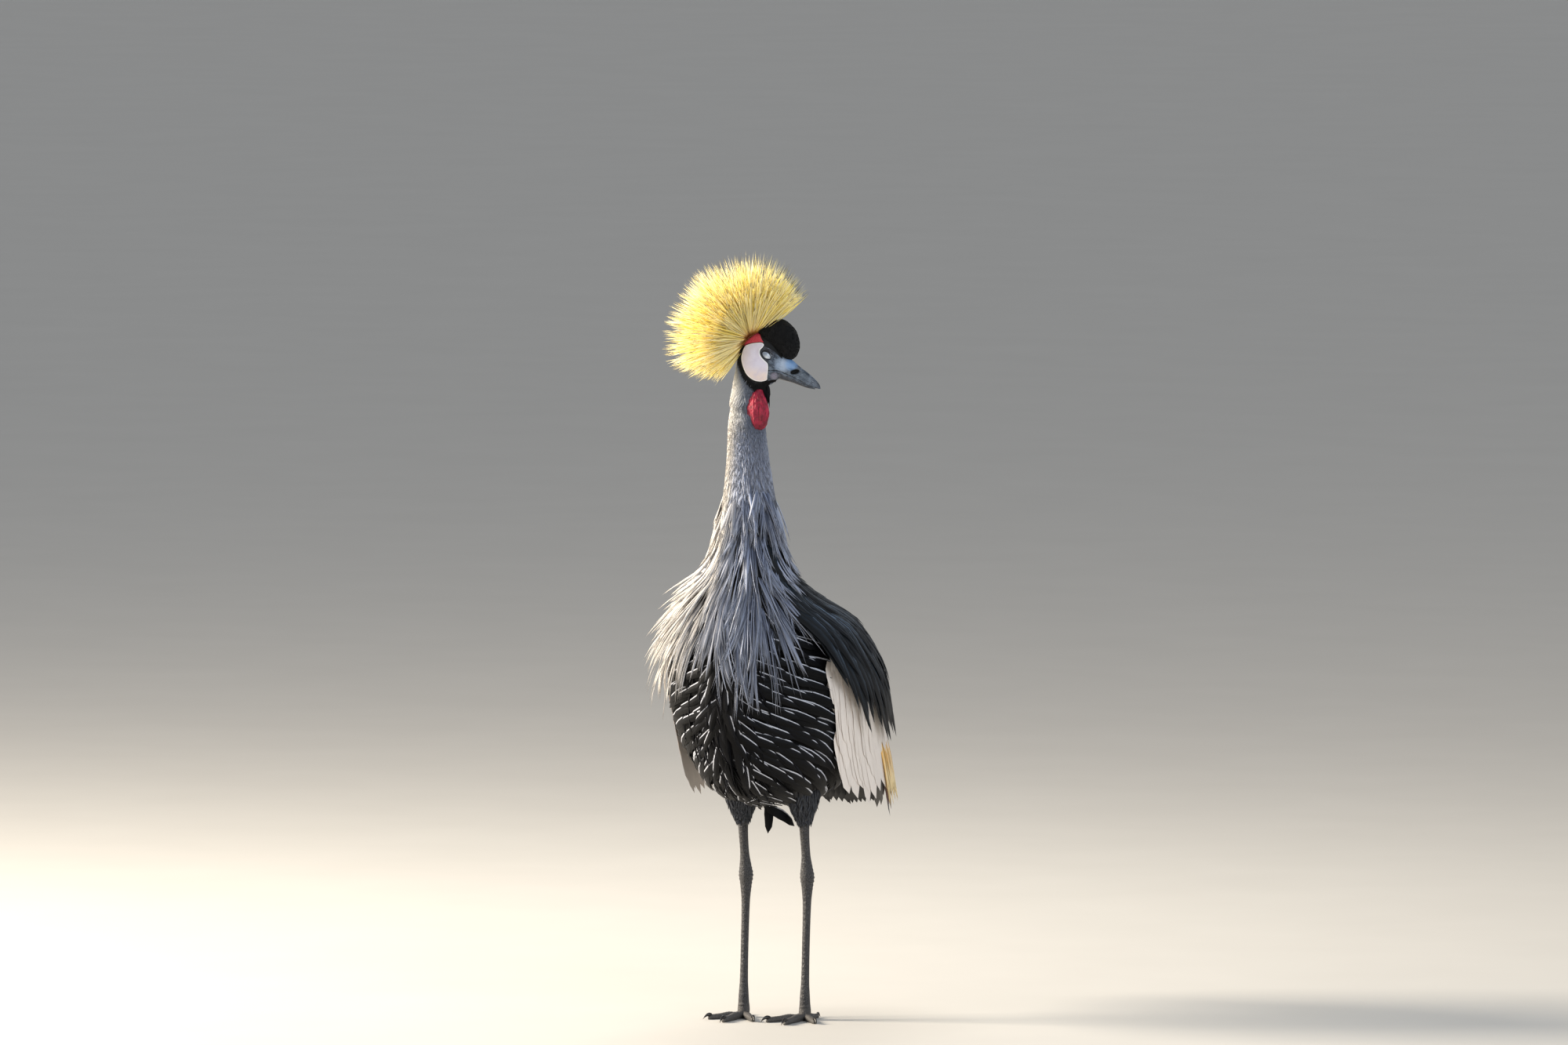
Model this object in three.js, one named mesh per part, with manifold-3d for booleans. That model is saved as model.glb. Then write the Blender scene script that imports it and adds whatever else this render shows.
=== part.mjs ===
// A grey crowned crane, life size, standing with its head turned to its left, as a museum model.
// Millimetres, +Z up. The breast faces -Y, the bird's left is +X, and the feet stand on z = 0.
import * as THREE from "three";
import { mergeVertices } from "three/addons/utils/BufferGeometryUtils.js";
import Module from "manifold-3d";

const wasm = await Module();
wasm.setup();

// Driving dimensions
const GAP = 0.3; // between nodes that touch
const FINEST = 0.02; // edges shorter than this are dropped
const HEAD_TURN = 112; // degrees that the head is turned to the left of the breast
const EYE_LINE = new THREE.Vector3(23.3, -80, 975); // midway between the eyes
const NECK_BASE = 650; // where the neck leaves the torso
const NECK_JOINT = 776; // between the two lengths of neck
const HEAD_BASE = 913; // where the neck meets the head
const HANG = 455; // below this height the wing feathers leave the belly and hang
const SKIRT_BACK = 0.7; // how fast they trail backwards as they hang
const SKIRT_IN = 0.12; // and how fast they close in on the legs
const HOCK_HEIGHT = 208;
const TARSUS_FOOT = 22; // top of the foot
const FEET_APART = 96;
const FEET_Y = 8;

const rad = THREE.MathUtils.degToRad;
const clamp = THREE.MathUtils.clamp;
const smooth = (x, low, high) => THREE.MathUtils.smoothstep(x, low, high);
const vec = (x, y, z) => new THREE.Vector3(x, y, z);

const steps = (from, to, count) =>
  Array.from({ length: count + 1 }, (_, i) => from + ((to - from) * i) / count);

// Smooth values between the rows of a table of stations, whose first column is the place.
function between(rows, place) {
  const last = rows.length - 1;
  let i = 0;
  while (i < last - 1 && place > rows[i + 1][0]) i++;
  const a = rows[i];
  const b = rows[i + 1];
  const before = rows[Math.max(i - 1, 0)];
  const after = rows[Math.min(i + 2, last)];
  const span = b[0] - a[0];
  const t = clamp((place - a[0]) / span, 0, 1);
  const rise = 3 * t * t - 2 * t * t * t;
  return a.map((value, k) => {
    const slopeA = ((b[k] - before[k]) / (b[0] - before[0])) * span;
    const slopeB = ((after[k] - a[k]) / (after[0] - a[0])) * span;
    return (
      value * (1 - rise) +
      b[k] * rise +
      slopeA * (t * t * t - 2 * t * t + t) +
      slopeB * (t * t * t - t * t)
    );
  });
}

// Solids

function solid(points, triangles) {
  const vertProperties = new Float32Array(points.flatMap((p) => [p.x, p.y, p.z]));
  let volume = 0;
  for (const [i, j, k] of triangles) {
    const cross = new THREE.Vector3().crossVectors(points[j], points[k]);
    volume += points[i].dot(cross);
  }
  const facing = volume < 0 ? triangles.map(([i, j, k]) => [i, k, j]) : triangles;
  return new wasm.Manifold(
    new wasm.Mesh({
      numProp: 3,
      vertProperties,
      triVerts: new Uint32Array(facing.flat()),
    }),
  );
}

// A closed loft through rings of points, each ring of the same count; a ring of one point is a tip.
// A flat loft has four corners to a ring, and both of its faces are split along the same diagonals.
function loft(rings, flat = false) {
  const points = rings.flat();
  const triangles = [];
  const starts = [];
  let start = 0;
  for (const ring of rings) {
    starts.push(start);
    start += ring.length;
  }
  for (let r = 0; r < rings.length - 1; r++) {
    const [low, high] = [rings[r].length, rings[r + 1].length];
    const [a, b] = [starts[r], starts[r + 1]];
    const sides = Math.max(low, high);
    for (let i = 0; i < sides; i++) {
      const j = (i + 1) % sides;
      if (flat && i === 2 && low > 1 && high > 1) {
        triangles.push([a + i, b + i, b + j], [a + i, b + j, a + j]);
        continue;
      }
      if (low > 1) triangles.push([a + i, b + (high > 1 ? i : 0), a + j]);
      if (high > 1) triangles.push([a + (low > 1 ? j : 0), b + i, b + j]);
    }
  }
  for (let i = 1; i < rings[0].length - 1; i++) triangles.push([0, i, i + 1]);
  const end = starts.at(-1);
  for (let i = 1; i < rings.at(-1).length - 1; i++) triangles.push([end, end + i + 1, end + i]);
  return solid(points, triangles);
}

const joined = (solids) => wasm.Manifold.union(solids);

// The largest closed surface of a solid, which also fills any hollow that joining has sealed.
function largest(made) {
  const shells = made.decompose().filter((shell) => shell.volume() > 0);
  return shells.sort((a, b) => b.volume() - a.volume())[0].simplify(FINEST);
}

// A solid with every face moved outwards by a margin.
function grown(made, margin) {
  const { vertProperties, triVerts } = made.getMesh();
  const corner = (i) => new THREE.Vector3().fromArray(vertProperties, i * 3);
  const around = Array.from({ length: vertProperties.length / 3 }, () => []);
  for (let t = 0; t < triVerts.length; t += 3) {
    const [a, b, c] = [corner(triVerts[t]), corner(triVerts[t + 1]), corner(triVerts[t + 2])];
    const normal = b.clone().sub(a).cross(c.clone().sub(a)).normalize();
    for (let k = 0; k < 3; k++) around[triVerts[t + k]].push(normal);
  }
  const points = around.map((normals, i) => {
    // The step that moves every face round this corner outwards by one.
    const m = new THREE.Matrix3().set(1e-3, 0, 0, 0, 1e-3, 0, 0, 0, 1e-3);
    const total = vec(0, 0, 0);
    for (const { x, y, z } of normals) {
      [x * x, x * y, x * z, y * x, y * y, y * z, z * x, z * y, z * z].forEach((value, k) => {
        m.elements[k] += value;
      });
      total.add(vec(x, y, z));
    }
    const outward = total.applyMatrix3(m.invert());
    const least = Math.min(...normals.map((normal) => normal.dot(outward)));
    return corner(i).addScaledVector(outward, margin / clamp(least, 0.5, 1));
  });
  const triangles = [];
  for (let t = 0; t < triVerts.length; t += 3) triangles.push([...triVerts.slice(t, t + 3)]);
  return solid(points, triangles);
}

// One node out of its pieces, keeping the gap to the pieces of the nodes that it touches.
const cutter = (pieces) => joined(pieces.flat(Infinity).map((piece) => grown(piece, GAP)));
const clearOf = (pieces, ...others) => largest(joined(pieces).subtract(cutter(others)));

// A solid out of one of three.js's own closed geometries, after a placing matrix.
function fromGeometry(geometry, matrix = new THREE.Matrix4()) {
  geometry.deleteAttribute("normal");
  geometry.deleteAttribute("uv");
  const merged = mergeVertices(geometry.applyMatrix4(matrix), 1e-4);
  const { position } = merged.attributes;
  const points = Array.from({ length: position.count }, (_, i) =>
    new THREE.Vector3().fromBufferAttribute(position, i),
  );
  const index = [...merged.index.array];
  const triangles = steps(0, index.length / 3 - 1, index.length / 3 - 1).map((t) =>
    index.slice(t * 3, t * 3 + 3),
  );
  return solid(points, triangles.filter(([i, j, k]) => i !== j && j !== k && k !== i));
}

// Repeatable random numbers from 0 to 1.
function draws(seed) {
  let state = seed;
  return () => {
    state = (state + 0x6d2b79f5) | 0;
    let t = Math.imul(state ^ (state >>> 15), 1 | state);
    t = (t + Math.imul(t ^ (t >>> 7), 61 | t)) ^ t;
    return ((t ^ (t >>> 14)) >>> 0) / 4294967296;
  };
}

function oval(sides, half, power = 2) {
  const points = [];
  for (let i = 0; i < sides; i++) {
    const angle = (i / sides) * 2 * Math.PI;
    const [c, s] = [Math.cos(angle), Math.sin(angle)];
    points.push([
      half[0] * Math.sign(c) * Math.abs(c) ** (2 / power),
      half[1] * Math.sign(s) * Math.abs(s) ** (2 / power),
    ]);
  }
  return points;
}

// A loft along one axis of the head: rows of place, low edge, high edge and half width.
function alongHead(rows, places, sides, power = 2) {
  return loft(
    places.map((place) => {
      const [, low, high, width] = between(rows, place);
      const middle = (low + high) / 2;
      return oval(sides, [width, (high - low) / 2], power).map(([s, w]) =>
        vec(place, s, middle + w),
      );
    }),
  );
}

// Body rings: height, half width, front, back, and how far the middle is off the midplane.
const BODY = [
  [318, 24, -25, 55, 0],
  [326, 55, -70, 110, 0],
  [345, 84, -112, 165, 0],
  [380, 106, -146, 205, 0],
  [430, 124, -166, 222, -6],
  [480, 130, -174, 205, -9],
  [530, 122, -172, 160, -9],
  [575, 104, -164, 105, -7],
  [615, 80, -154, 45, -4],
  [650, 56, -142, -20, 0],
  [690, 42, -130, -44, 0],
  [740, 34, -122, -54, 0],
  [800, 27, -116, -61, -1],
  [866, 22, -113, -68, -3],
  [920, 20, -113, -69, -4],
];
const BODY_POWER = 2.15;

// A point of the body's surface at an angle from the front of the breast, positive to the left.
// Below the hanging height the surface leaves the belly, as the folded wings do.
function bodyPoint(angle, height, hang = HANG) {
  const hung = Math.min(height - hang, 0);
  const [, half, front, back, middle] = between(BODY, Math.max(height, hang));
  const [width, rear] = [half + SKIRT_IN * hung, back - SKIRT_BACK * hung];
  const [c, s] = [Math.cos(rad(angle)), Math.sin(rad(angle))];
  return vec(
    middle + width * Math.sign(s) * Math.abs(s) ** (2 / BODY_POWER),
    (front + rear) / 2 - ((rear - front) / 2) * Math.sign(c) * Math.abs(c) ** (2 / BODY_POWER),
    height,
  );
}

// Outward direction of that surface.
function outwardAt(angle, height, hang) {
  const across = bodyPoint(angle + 2, height, hang).sub(bodyPoint(angle - 2, height, hang));
  const up = bodyPoint(angle, height + 3, hang).sub(bodyPoint(angle, height - 3, hang));
  return across.cross(up).normalize();
}

// The same point, raised off the surface; feathers and shells lie on this drape.
const drape = (angle, height, raised, hang) =>
  bodyPoint(angle, height, hang).addScaledVector(outwardAt(angle, height, hang), raised);

// The line of one feather on the drape: from its root, at a heading from straight down that
// grows by a turn along its length, raised by a lift from 0 at the root to 1 at the tip. Its
// points are closer at the root.
function strand({ angle, height, heading, turn = 0, length, lift, count, hang }) {
  const line = [];
  let [a, z] = [angle, height];
  for (let i = 0; i <= count; i++) {
    const share = (i / count) ** 1.5;
    line.push({ at: drape(a, z, lift(share, a, z), hang), out: outwardAt(a, z, hang) });
    const here = bodyPoint(a, z, hang);
    const perDegree = bodyPoint(a + 1, z, hang).distanceTo(here);
    const perHeight = bodyPoint(a, z - 1, hang).distanceTo(here);
    const way = rad(heading + turn * share);
    const step = (((i + 1) / count) ** 1.5 - share) * length;
    a += (Math.sin(way) * step) / perDegree;
    z -= (Math.cos(way) * step) / perHeight;
  }
  return line;
}

// A lift that leaves the surface soon after the root and then flattens.
const lifted = (from, to) => (share) => from + (to - from) * share ** 0.4;

// A feather along such a line, pointed at its root and tip, with the half widths between: a flat
// vane, or a narrow lock with a ridge.
function feather(line, halfWidths, thick, ridged = false) {
  const rings = line.slice(1, -1).map(({ at, out }, i) => {
    const ahead = line[i + 2].at.clone().sub(line[i].at).normalize();
    const aside = ahead.clone().cross(out).normalize();
    const up = aside.clone().cross(ahead).normalize();
    const corner = (s, u) =>
      at.clone().addScaledVector(aside, s * halfWidths[i]).addScaledVector(up, u * thick);
    return ridged
      ? [corner(1, -0.4), corner(0, 0.6), corner(-1, -0.4)]
      : [corner(1, 0.5), corner(-1, 0.5), corner(-1, -0.5), corner(1, -0.5)];
  });
  return loft([[line[0].at], ...rings, [line.at(-1).at]], !ridged);
}

function bodyRing(height, sides) {
  const [, half, front, back, middle] = between(BODY, height);
  return oval(sides, [half, (back - front) / 2], BODY_POWER).map(([x, y]) =>
    vec(middle + x, (front + back) / 2 + y, height),
  );
}

// A length of the body between two heights.
function bodyLength(from, to, count, sides) {
  return loft(steps(from, to, count).map((height) => bodyRing(height, sides)));
}

// A closed shell over a patch of the drape, between an inner and an outer height.
function patchShell(rows, columns, place, outer, inner) {
  const points = [];
  for (const raised of [outer, inner]) {
    for (let i = 0; i <= rows; i++) {
      for (let j = 0; j <= columns; j++) {
        const [s, t] = [i / rows, j / columns];
        points.push(drape(...place(s, t), raised(s, t)));
      }
    }
  }
  const layer = (rows + 1) * (columns + 1);
  const at = (i, j, k) => k * layer + i * (columns + 1) + j;
  const triangles = [];
  for (let i = 0; i < rows; i++) {
    for (let j = 0; j < columns; j++) {
      triangles.push([at(i, j, 0), at(i + 1, j, 0), at(i + 1, j + 1, 0)]);
      triangles.push([at(i, j, 0), at(i + 1, j + 1, 0), at(i, j + 1, 0)]);
      triangles.push([at(i, j, 1), at(i + 1, j + 1, 1), at(i + 1, j, 1)]);
      triangles.push([at(i, j, 1), at(i, j + 1, 1), at(i + 1, j + 1, 1)]);
    }
  }
  const edge = [];
  for (let j = 0; j < columns; j++) edge.push([0, j]);
  for (let i = 0; i < rows; i++) edge.push([i, columns]);
  for (let j = columns; j > 0; j--) edge.push([rows, j]);
  for (let i = rows; i > 0; i--) edge.push([i, 0]);
  edge.forEach(([i, j], n) => {
    const [k, l] = edge[(n + 1) % edge.length];
    triangles.push([at(i, j, 0), at(k, l, 0), at(k, l, 1)]);
    triangles.push([at(i, j, 0), at(k, l, 1), at(i, j, 1)]);
  });
  return solid(points, triangles);
}

// Head, in its own frame: x forward along the bill, y to the head's left, z up, from the eye line.
const toHead = new THREE.Matrix4()
  .makeRotationZ(rad(HEAD_TURN - 90))
  .setPosition(EYE_LINE);
const placed = (made) => made.transform(toHead.toArray());

const SKULL = [
  // place, underside, top and half width
  [-41, -8, 6, 6],
  [-37, -19, 13, 12],
  [-30, -28, 23, 16.5],
  [-18, -35, 31, 20],
  [-4, -38, 32, 21.5],
  [8, -39, 27, 20],
  [17, -38, 16, 15.5],
];
const THROAT = [
  // height, back, front and half width
  [-62, -52, -6, 20],
  [-45, -51, 0, 19.5],
  [-28, -46, 7, 19],
  [-10, -40, 12, 18],
];
const BILL = {
  // place, mouth line, culmen and half width
  upper: [
    [17, -23.3, 8, 13.2],
    [27, -27.6, -1, 11.6],
    [38, -32.4, -8.6, 9.8],
    [45, -35.9, -14.8, 8.6],
    [52, -40.2, -20.8, 7.4],
    [58, -43.9, -25.2, 6.4],
    [64, -46.9, -30.2, 5.2],
    [70, -49, -35.9, 4],
    [74, -50, -40.2, 3],
    [78, -50.6, -47, 1.3],
  ],
  // place, underside, mouth line and half width
  lower: [
    [17, -36, -23.9, 12.4],
    [27, -38.5, -28.2, 10.8],
    [38, -41.7, -33, 9],
    [45, -44.4, -36.5, 7.8],
    [52, -46.9, -40.8, 6.6],
    [58, -48.8, -44.5, 5.6],
    [64, -50.4, -47.5, 4.4],
    [70, -51.2, -49.6, 3],
  ],
};
const BILL_BASE = 17;
const NOSTRIL = { at: [41.5, 9, -25], half: [6, 2.6, 2.3], tilt: -8 };
const GAPE = { at: [11, 18.4, -22.9], size: [15, 3.4, 1.2], taper: -27 };
const FOREHEAD = [
  // the velvet cushion: place, underside, top and half width
  [-12.5, 30, 35, 6],
  [-6, 18, 41, 14],
  [4, 8, 48, 18.5],
  [12, 2.5, 51.3, 20],
  [20, -4, 52, 20.5],
  [28, -9, 49.6, 20],
  [36, -9, 43, 18],
  [43, -4, 34.5, 14],
  [47.7, 4, 23, 8.5],
  [49.3, 10, 16, 3.5],
];
// Eyes tilt down towards the bill; the lid is a ring that stands on the skull.
const EYE = { out: 16.4, half: [8.4, 6.2, 6.1], tilt: 38 };
const LID = { out: 20.6, half: [7.7, 5.6], thick: 1.7 };
const CHEEK = { at: [-17, 12.2, -10], half: [19, 9.9, 28] };

// A slice of a half-round mandible: flat on the mouth line and round on the other side.
function mandible(rows, places, up) {
  return loft(
    places.map((place) => {
      const [, low, high, width] = between(rows, place);
      const [flat, deep] = up ? [low, high - low] : [high, low - high];
      return steps(0, 180, 8).map((angle) =>
        vec(place, width * Math.cos(rad(angle)), flat + deep * Math.sin(rad(angle)) ** 0.9),
      );
    }),
  );
}

// A ball stretched along its three axes, then tilted nose down, at a place.
function egg([x, y, z], [a, b, c], tilt = 0, detail = [12, 8]) {
  const matrix = new THREE.Matrix4()
    .makeTranslation(x, y, z)
    .multiply(new THREE.Matrix4().makeRotationY(rad(tilt)))
    .multiply(new THREE.Matrix4().makeScale(a, b, c));
  return fromGeometry(new THREE.SphereGeometry(1, ...detail), matrix);
}

function lid(side) {
  const matrix = new THREE.Matrix4()
    .makeTranslation(0, side * LID.out, 0)
    .multiply(new THREE.Matrix4().makeRotationY(rad(EYE.tilt)))
    .multiply(new THREE.Matrix4().makeScale(LID.half[0], 1, LID.half[1]))
    .multiply(new THREE.Matrix4().makeRotationX(Math.PI / 2));
  return fromGeometry(new THREE.TorusGeometry(1, LID.thick / 6.6, 4, 12), matrix);
}
function gape(side) {
  const [x, y, z] = GAPE.at;
  const matrix = new THREE.Matrix4()
    .makeTranslation(x, side * y, z)
    .multiply(new THREE.Matrix4().makeRotationZ(rad(side * GAPE.taper)));
  return fromGeometry(new THREE.BoxGeometry(...GAPE.size), matrix);
}
const mirrored = ([x, y, z], side) => [x, side * y, z];
const sides = [-1, 1];

const billPlaces = [BILL_BASE, 27, 37, 47, 56, 64];
const upperPieces = [mandible(BILL.upper, [...billPlaces, 71, 76, 78], true)];
const billUpper = largest(
  upperPieces[0].subtract(
    joined(
      sides.map((side) => egg(mirrored(NOSTRIL.at, side), NOSTRIL.half, NOSTRIL.tilt, [8, 6])),
    ),
  ),
);
const billLower = mandible(BILL.lower, [...billPlaces, 70], false);

const skullPieces = [
  alongHead(SKULL, [-41, -39, -36, -30, -22, -13, -3, 6, BILL_BASE - GAP], 18),
  loft(
    steps(-62 + GAP, -10, 5).map((height) => {
      const [, back, front, width] = between(THROAT, height);
      return oval(14, [(front - back) / 2, width], 2.1).map(([x, y]) =>
        vec((back + front) / 2 + x, y, height),
      );
    }),
  ),
];
const eyes = sides.map((side) => egg([0, side * EYE.out, 0], EYE.half, EYE.tilt, [11, 7]));
const foreheadPieces = [alongHead(FOREHEAD, [-12.5, -5, 5, 15, 25, 34, 42, 47.7, 49.3], 14)];
const head = largest(
  clearOf(
    [
      ...skullPieces,
      ...sides.map(lid),
      ...sides.map((side) => egg(mirrored(CHEEK.at, side), CHEEK.half, 0, [10, 7])),
    ],
    eyes,
  ).subtract(joined(sides.map(gape))),
);
const forehead = clearOf(foreheadPieces, skullPieces, eyes, upperPieces, sides.map(lid));

// Crest: a pad over the hind crown, and bristles that fan out of it.
const CREST = { at: vec(-22, 0, 21), middle: 135, ahead: 97, aside: 58, length: 127 };
const CREST_PAD = { at: [-24, 0, 12], half: [19.5, 10.5, 24] };
const BRISTLES = { count: 98, sunk: 3.5, root: 1.8 };

function crestDirection(round, share) {
  const reach = 1 / Math.hypot(Math.cos(round) / CREST.ahead, Math.sin(round) / CREST.aside);
  const bend = rad(share * reach);
  const turn = rad(CREST.middle);
  const [along, side] = [Math.sin(bend) * Math.cos(round), Math.sin(bend) * Math.sin(round)];
  const out = Math.cos(bend);
  return vec(
    out * Math.cos(turn) + along * Math.sin(turn),
    side,
    out * Math.sin(turn) - along * Math.cos(turn),
  );
}
function crestLength(direction) {
  const low = smooth(-direction.z, 0.2, 0.8);
  const ahead = smooth(direction.x, 0.2, 0.9);
  return CREST.length * (1 - 0.38 * low - 0.15 * ahead);
}
// How far out of the pad's surface a ray from the crest's middle comes.
function padDepth(direction) {
  const scaled = (v, from) =>
    vec(...["x", "y", "z"].map((k, i) => (v[k] - from[i]) / CREST_PAD.half[i]));
  const [d, o] = [scaled(direction, [0, 0, 0]), scaled(CREST.at, CREST_PAD.at)];
  const [a, b, c] = [d.dot(d), d.dot(o), o.dot(o) - 1];
  return (-b + Math.sqrt(b * b - a * c)) / a;
}
const crestDraw = draws(7);
const crestPieces = [egg(CREST_PAD.at, CREST_PAD.half, 0, [10, 8])];
for (let i = 0; i < BRISTLES.count; i++) {
  const share = Math.sqrt((i + 0.5) / BRISTLES.count);
  const direction = crestDirection(i * Math.PI * (3 - Math.sqrt(5)), share);
  const reach = crestLength(direction) * (0.88 + 0.12 * crestDraw());
  const start = padDepth(direction) - BRISTLES.sunk;
  const aside = direction.clone().cross(vec(0.3, 0.2, 1)).normalize();
  const up = aside.clone().cross(direction);
  const ring = (distance, radius) =>
    oval(3, [radius, radius]).map(([x, y]) =>
      CREST.at
        .clone()
        .addScaledVector(direction, distance)
        .addScaledVector(aside, x)
        .addScaledVector(up, y),
    );
  crestPieces.push(
    loft([
      ring(start, BRISTLES.root),
      [CREST.at.clone().addScaledVector(direction, reach)],
    ]),
  );
}
const crest = clearOf(crestPieces, skullPieces, foreheadPieces);

// Wattle: two lobes side by side with pleats down them.
const WATTLE = [
  // height, back, front, half width and how far to the right
  [-110, -16, -8, 3, 14],
  [-106, -22, -2, 7, 14],
  [-92, -27.5, 3, 10.5, 13],
  [-78, -28.5, 3.5, 11.5, 12],
  [-64, -24, 0, 10.5, 9],
  [-50, -16, -4, 8, 4],
];
const WATTLE_LOBES = 7; // either side of the cleft
const wattleLobes = sides.map((side) =>
  placed(
    loft(
      [-110, -107, -102, -93, -82, -71, -60, -50].map((height) => {
        const [, back, front, width, right] = between(WATTLE, height);
        return oval(16, [(front - back) / 2, width]).map(([x, y], i) => {
          const pleat = 1 - 0.07 * (i % 2);
          return vec(
            (back + front) / 2 + x * pleat,
            y * pleat - right + side * WATTLE_LOBES * (width / 11.5),
            height,
          );
        });
      }),
    ),
  ),
);

// Torso: a smooth core, and lanceolate breast feathers that part in the middle and sweep back.
const NO_HANG = 0;
const BREAST = { rows: 6, top: 532, bottom: 362, each: 7, edge: 60, length: 80, half: 12 };
const torsoCore = bodyLength(318, NECK_BASE - GAP / 2, 10, 24);
const torsoPieces = [torsoCore];
for (const [row, height] of steps(BREAST.top, BREAST.bottom, BREAST.rows - 1).entries()) {
  const shift = row % 2 ? 0.5 : 0;
  for (let i = 0; i < BREAST.each - shift * 2; i++) {
    const tip = -BREAST.edge + ((i + shift) * 2 * BREAST.edge) / (BREAST.each - 1);
    const outer = smooth(Math.abs(tip), 4, 50);
    const sweep = Math.sign(tip) * (14 + 56 * outer * smooth(-height, -570, -440));
    const perDegree = bodyPoint(tip + 1, height, NO_HANG).distanceTo(bodyPoint(tip, height, NO_HANG));
    torsoPieces.push(
      feather(
        strand({
          angle: tip - (BREAST.length * Math.sin(rad(sweep))) / perDegree,
          height,
          heading: sweep,
          length: BREAST.length,
          lift: lifted(-4, 6),
          count: 3,
          hang: NO_HANG,
        }),
        [BREAST.half * 0.9, BREAST.half],
        0.9,
      ),
    );
  }
}
const torso = largest(joined(torsoPieces));

// Wings: a core under the coverts, then white coverts, straw plumes, chestnut secondaries
// and black quills.
const WING = { front: 68, rear: 181, top: 545, between: -5 };
const wingThick = (angle) => {
  const back = Math.abs(angle) - WING.front;
  return 5 + 5 * smooth(back, 0, 10) + 7 * smooth(back, 6, 32);
};
const wingPlace = (side) => (s, t) => {
  const top = WING.top - 55 * s;
  const low = 425 - 75 * smooth(s, 0.05, 0.6);
  const round = 12 * (1 - s) ** 3 * (2 * t - 1) ** 2;
  return [side * (WING.front + round + (WING.rear - WING.front) * s), top + (low - top) * t];
};
const onWing = (rise) => (share, angle) => wingThick(angle) + lifted(...rise)(share);
const TIERS = {
  // roots: angle and height of the first and last feather, then how many
  coverts: [
    { from: [76, 526], to: [76, 526], many: 1, heading: 4, length: 72, half: 11 },
    { from: [74, 482], to: [84, 490], many: 2, heading: 12, length: 74, half: 12 },
    { from: [76, 440], to: [164, 448], many: 5, heading: 22, length: 80, half: 16 },
    { from: [82, 402], to: [162, 414], many: 5, heading: 24, length: 74, half: 16 },
  ],
  plumes: [{ from: [83, 398], to: [156, 386], many: 6, heading: 12, length: 100, half: 9 }],
  secondaries: [{ from: [124, 398], to: [168, 396], many: 4, heading: 10, length: 112, half: 15 }],
  quills: [{ from: [134, 384], to: [160, 384], many: 2, heading: 20, length: 118, half: 10 }],
};
const RISE = {
  coverts: [-4, 5.5],
  plumes: [-3.5, 3],
  secondaries: [-6.5, -5],
  quills: [-12, -11],
};
function wingPieces(side) {
  const pieces = [
    patchShell(
      8,
      4,
      wingPlace(side),
      (s) => wingThick(WING.front + (WING.rear - WING.front) * s),
      () => -1,
    ),
  ];
  for (const [kind, tiers] of Object.entries(TIERS)) {
    for (const { from, to, many, heading, length, half } of tiers) {
      for (let i = 0; i < many; i++) {
        const share = many > 1 ? i / (many - 1) : 0;
        const [angle, height] = [0, 1].map((k) => from[k] + (to[k] - from[k]) * share);
        const rise = RISE[kind].map((value) => value + (kind === "coverts" ? 0 : 1.4 * (i % 2)));
        const line = strand({
          angle: side * angle,
          height,
          heading: side * heading,
          turn: -side * 8,
          length,
          lift: onWing(rise),
          count: kind === "coverts" ? 3 : 4,
        });
        const widths = kind === "coverts" ? [0.9, 1] : [0.9, 1, 0.9];
        pieces.push(
          feather(line, widths.map((w) => w * half), kind === "plumes" ? 1.3 : 0.9, kind === "plumes"),
        );
      }
    }
  }
  return pieces;
}
const allWingPieces = [1, -1].map(wingPieces);
const wings = allWingPieces.map((pieces, i) =>
  largest(
    clearOf(pieces, torsoCore).trimByPlane(
      [i ? -1 : 1, 0, 0],
      (i ? -1 : 1) * WING.between + GAP / 2,
    ),
  ),
);

// Mantle: long scapular feathers that lie over the tops of the wings.
const MANTLE = { front: 86, top: 649, low: 500 };
const mantleThick = (height) => 5 + 20 * smooth(-height, -622, -552);
const MANTLE_ROWS = [
  // height, feathers across, length and half width
  [640, 7, 100, 17],
  [592, 7, 106, 20],
  [544, 8, 108, 20],
  [498, 9, 104, 19],
];
const mantlePieces = [
  patchShell(
    5,
    13,
    (s, t) => [MANTLE.front + (360 - 2 * MANTLE.front) * t, MANTLE.top + (MANTLE.low - MANTLE.top) * s],
    (s) => mantleThick(MANTLE.top + (MANTLE.low - MANTLE.top) * s),
    () => -1,
  ),
];
for (const [row, [height, many, length, half]] of MANTLE_ROWS.entries()) {
  const edge = MANTLE.front + 3;
  for (let i = 0; i < many; i++) {
    const angle = edge + ((360 - 2 * edge) * (i + (row % 2 ? 0.5 : 0))) / (many - (row % 2 ? 0 : 1));
    const heading = 24 * clamp((180 - angle) / 80, -1, 1);
    mantlePieces.push(
      feather(
        strand({
          angle,
          height,
          heading,
          length,
          lift: (share, _, z) => mantleThick(z) + lifted(-4, 6.5)(share),
          count: 3,
        }),
        [half * 0.9, half],
        0.9,
      ),
    );
  }
}
const mantle = clearOf(mantlePieces, torsoCore, allWingPieces);

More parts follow.
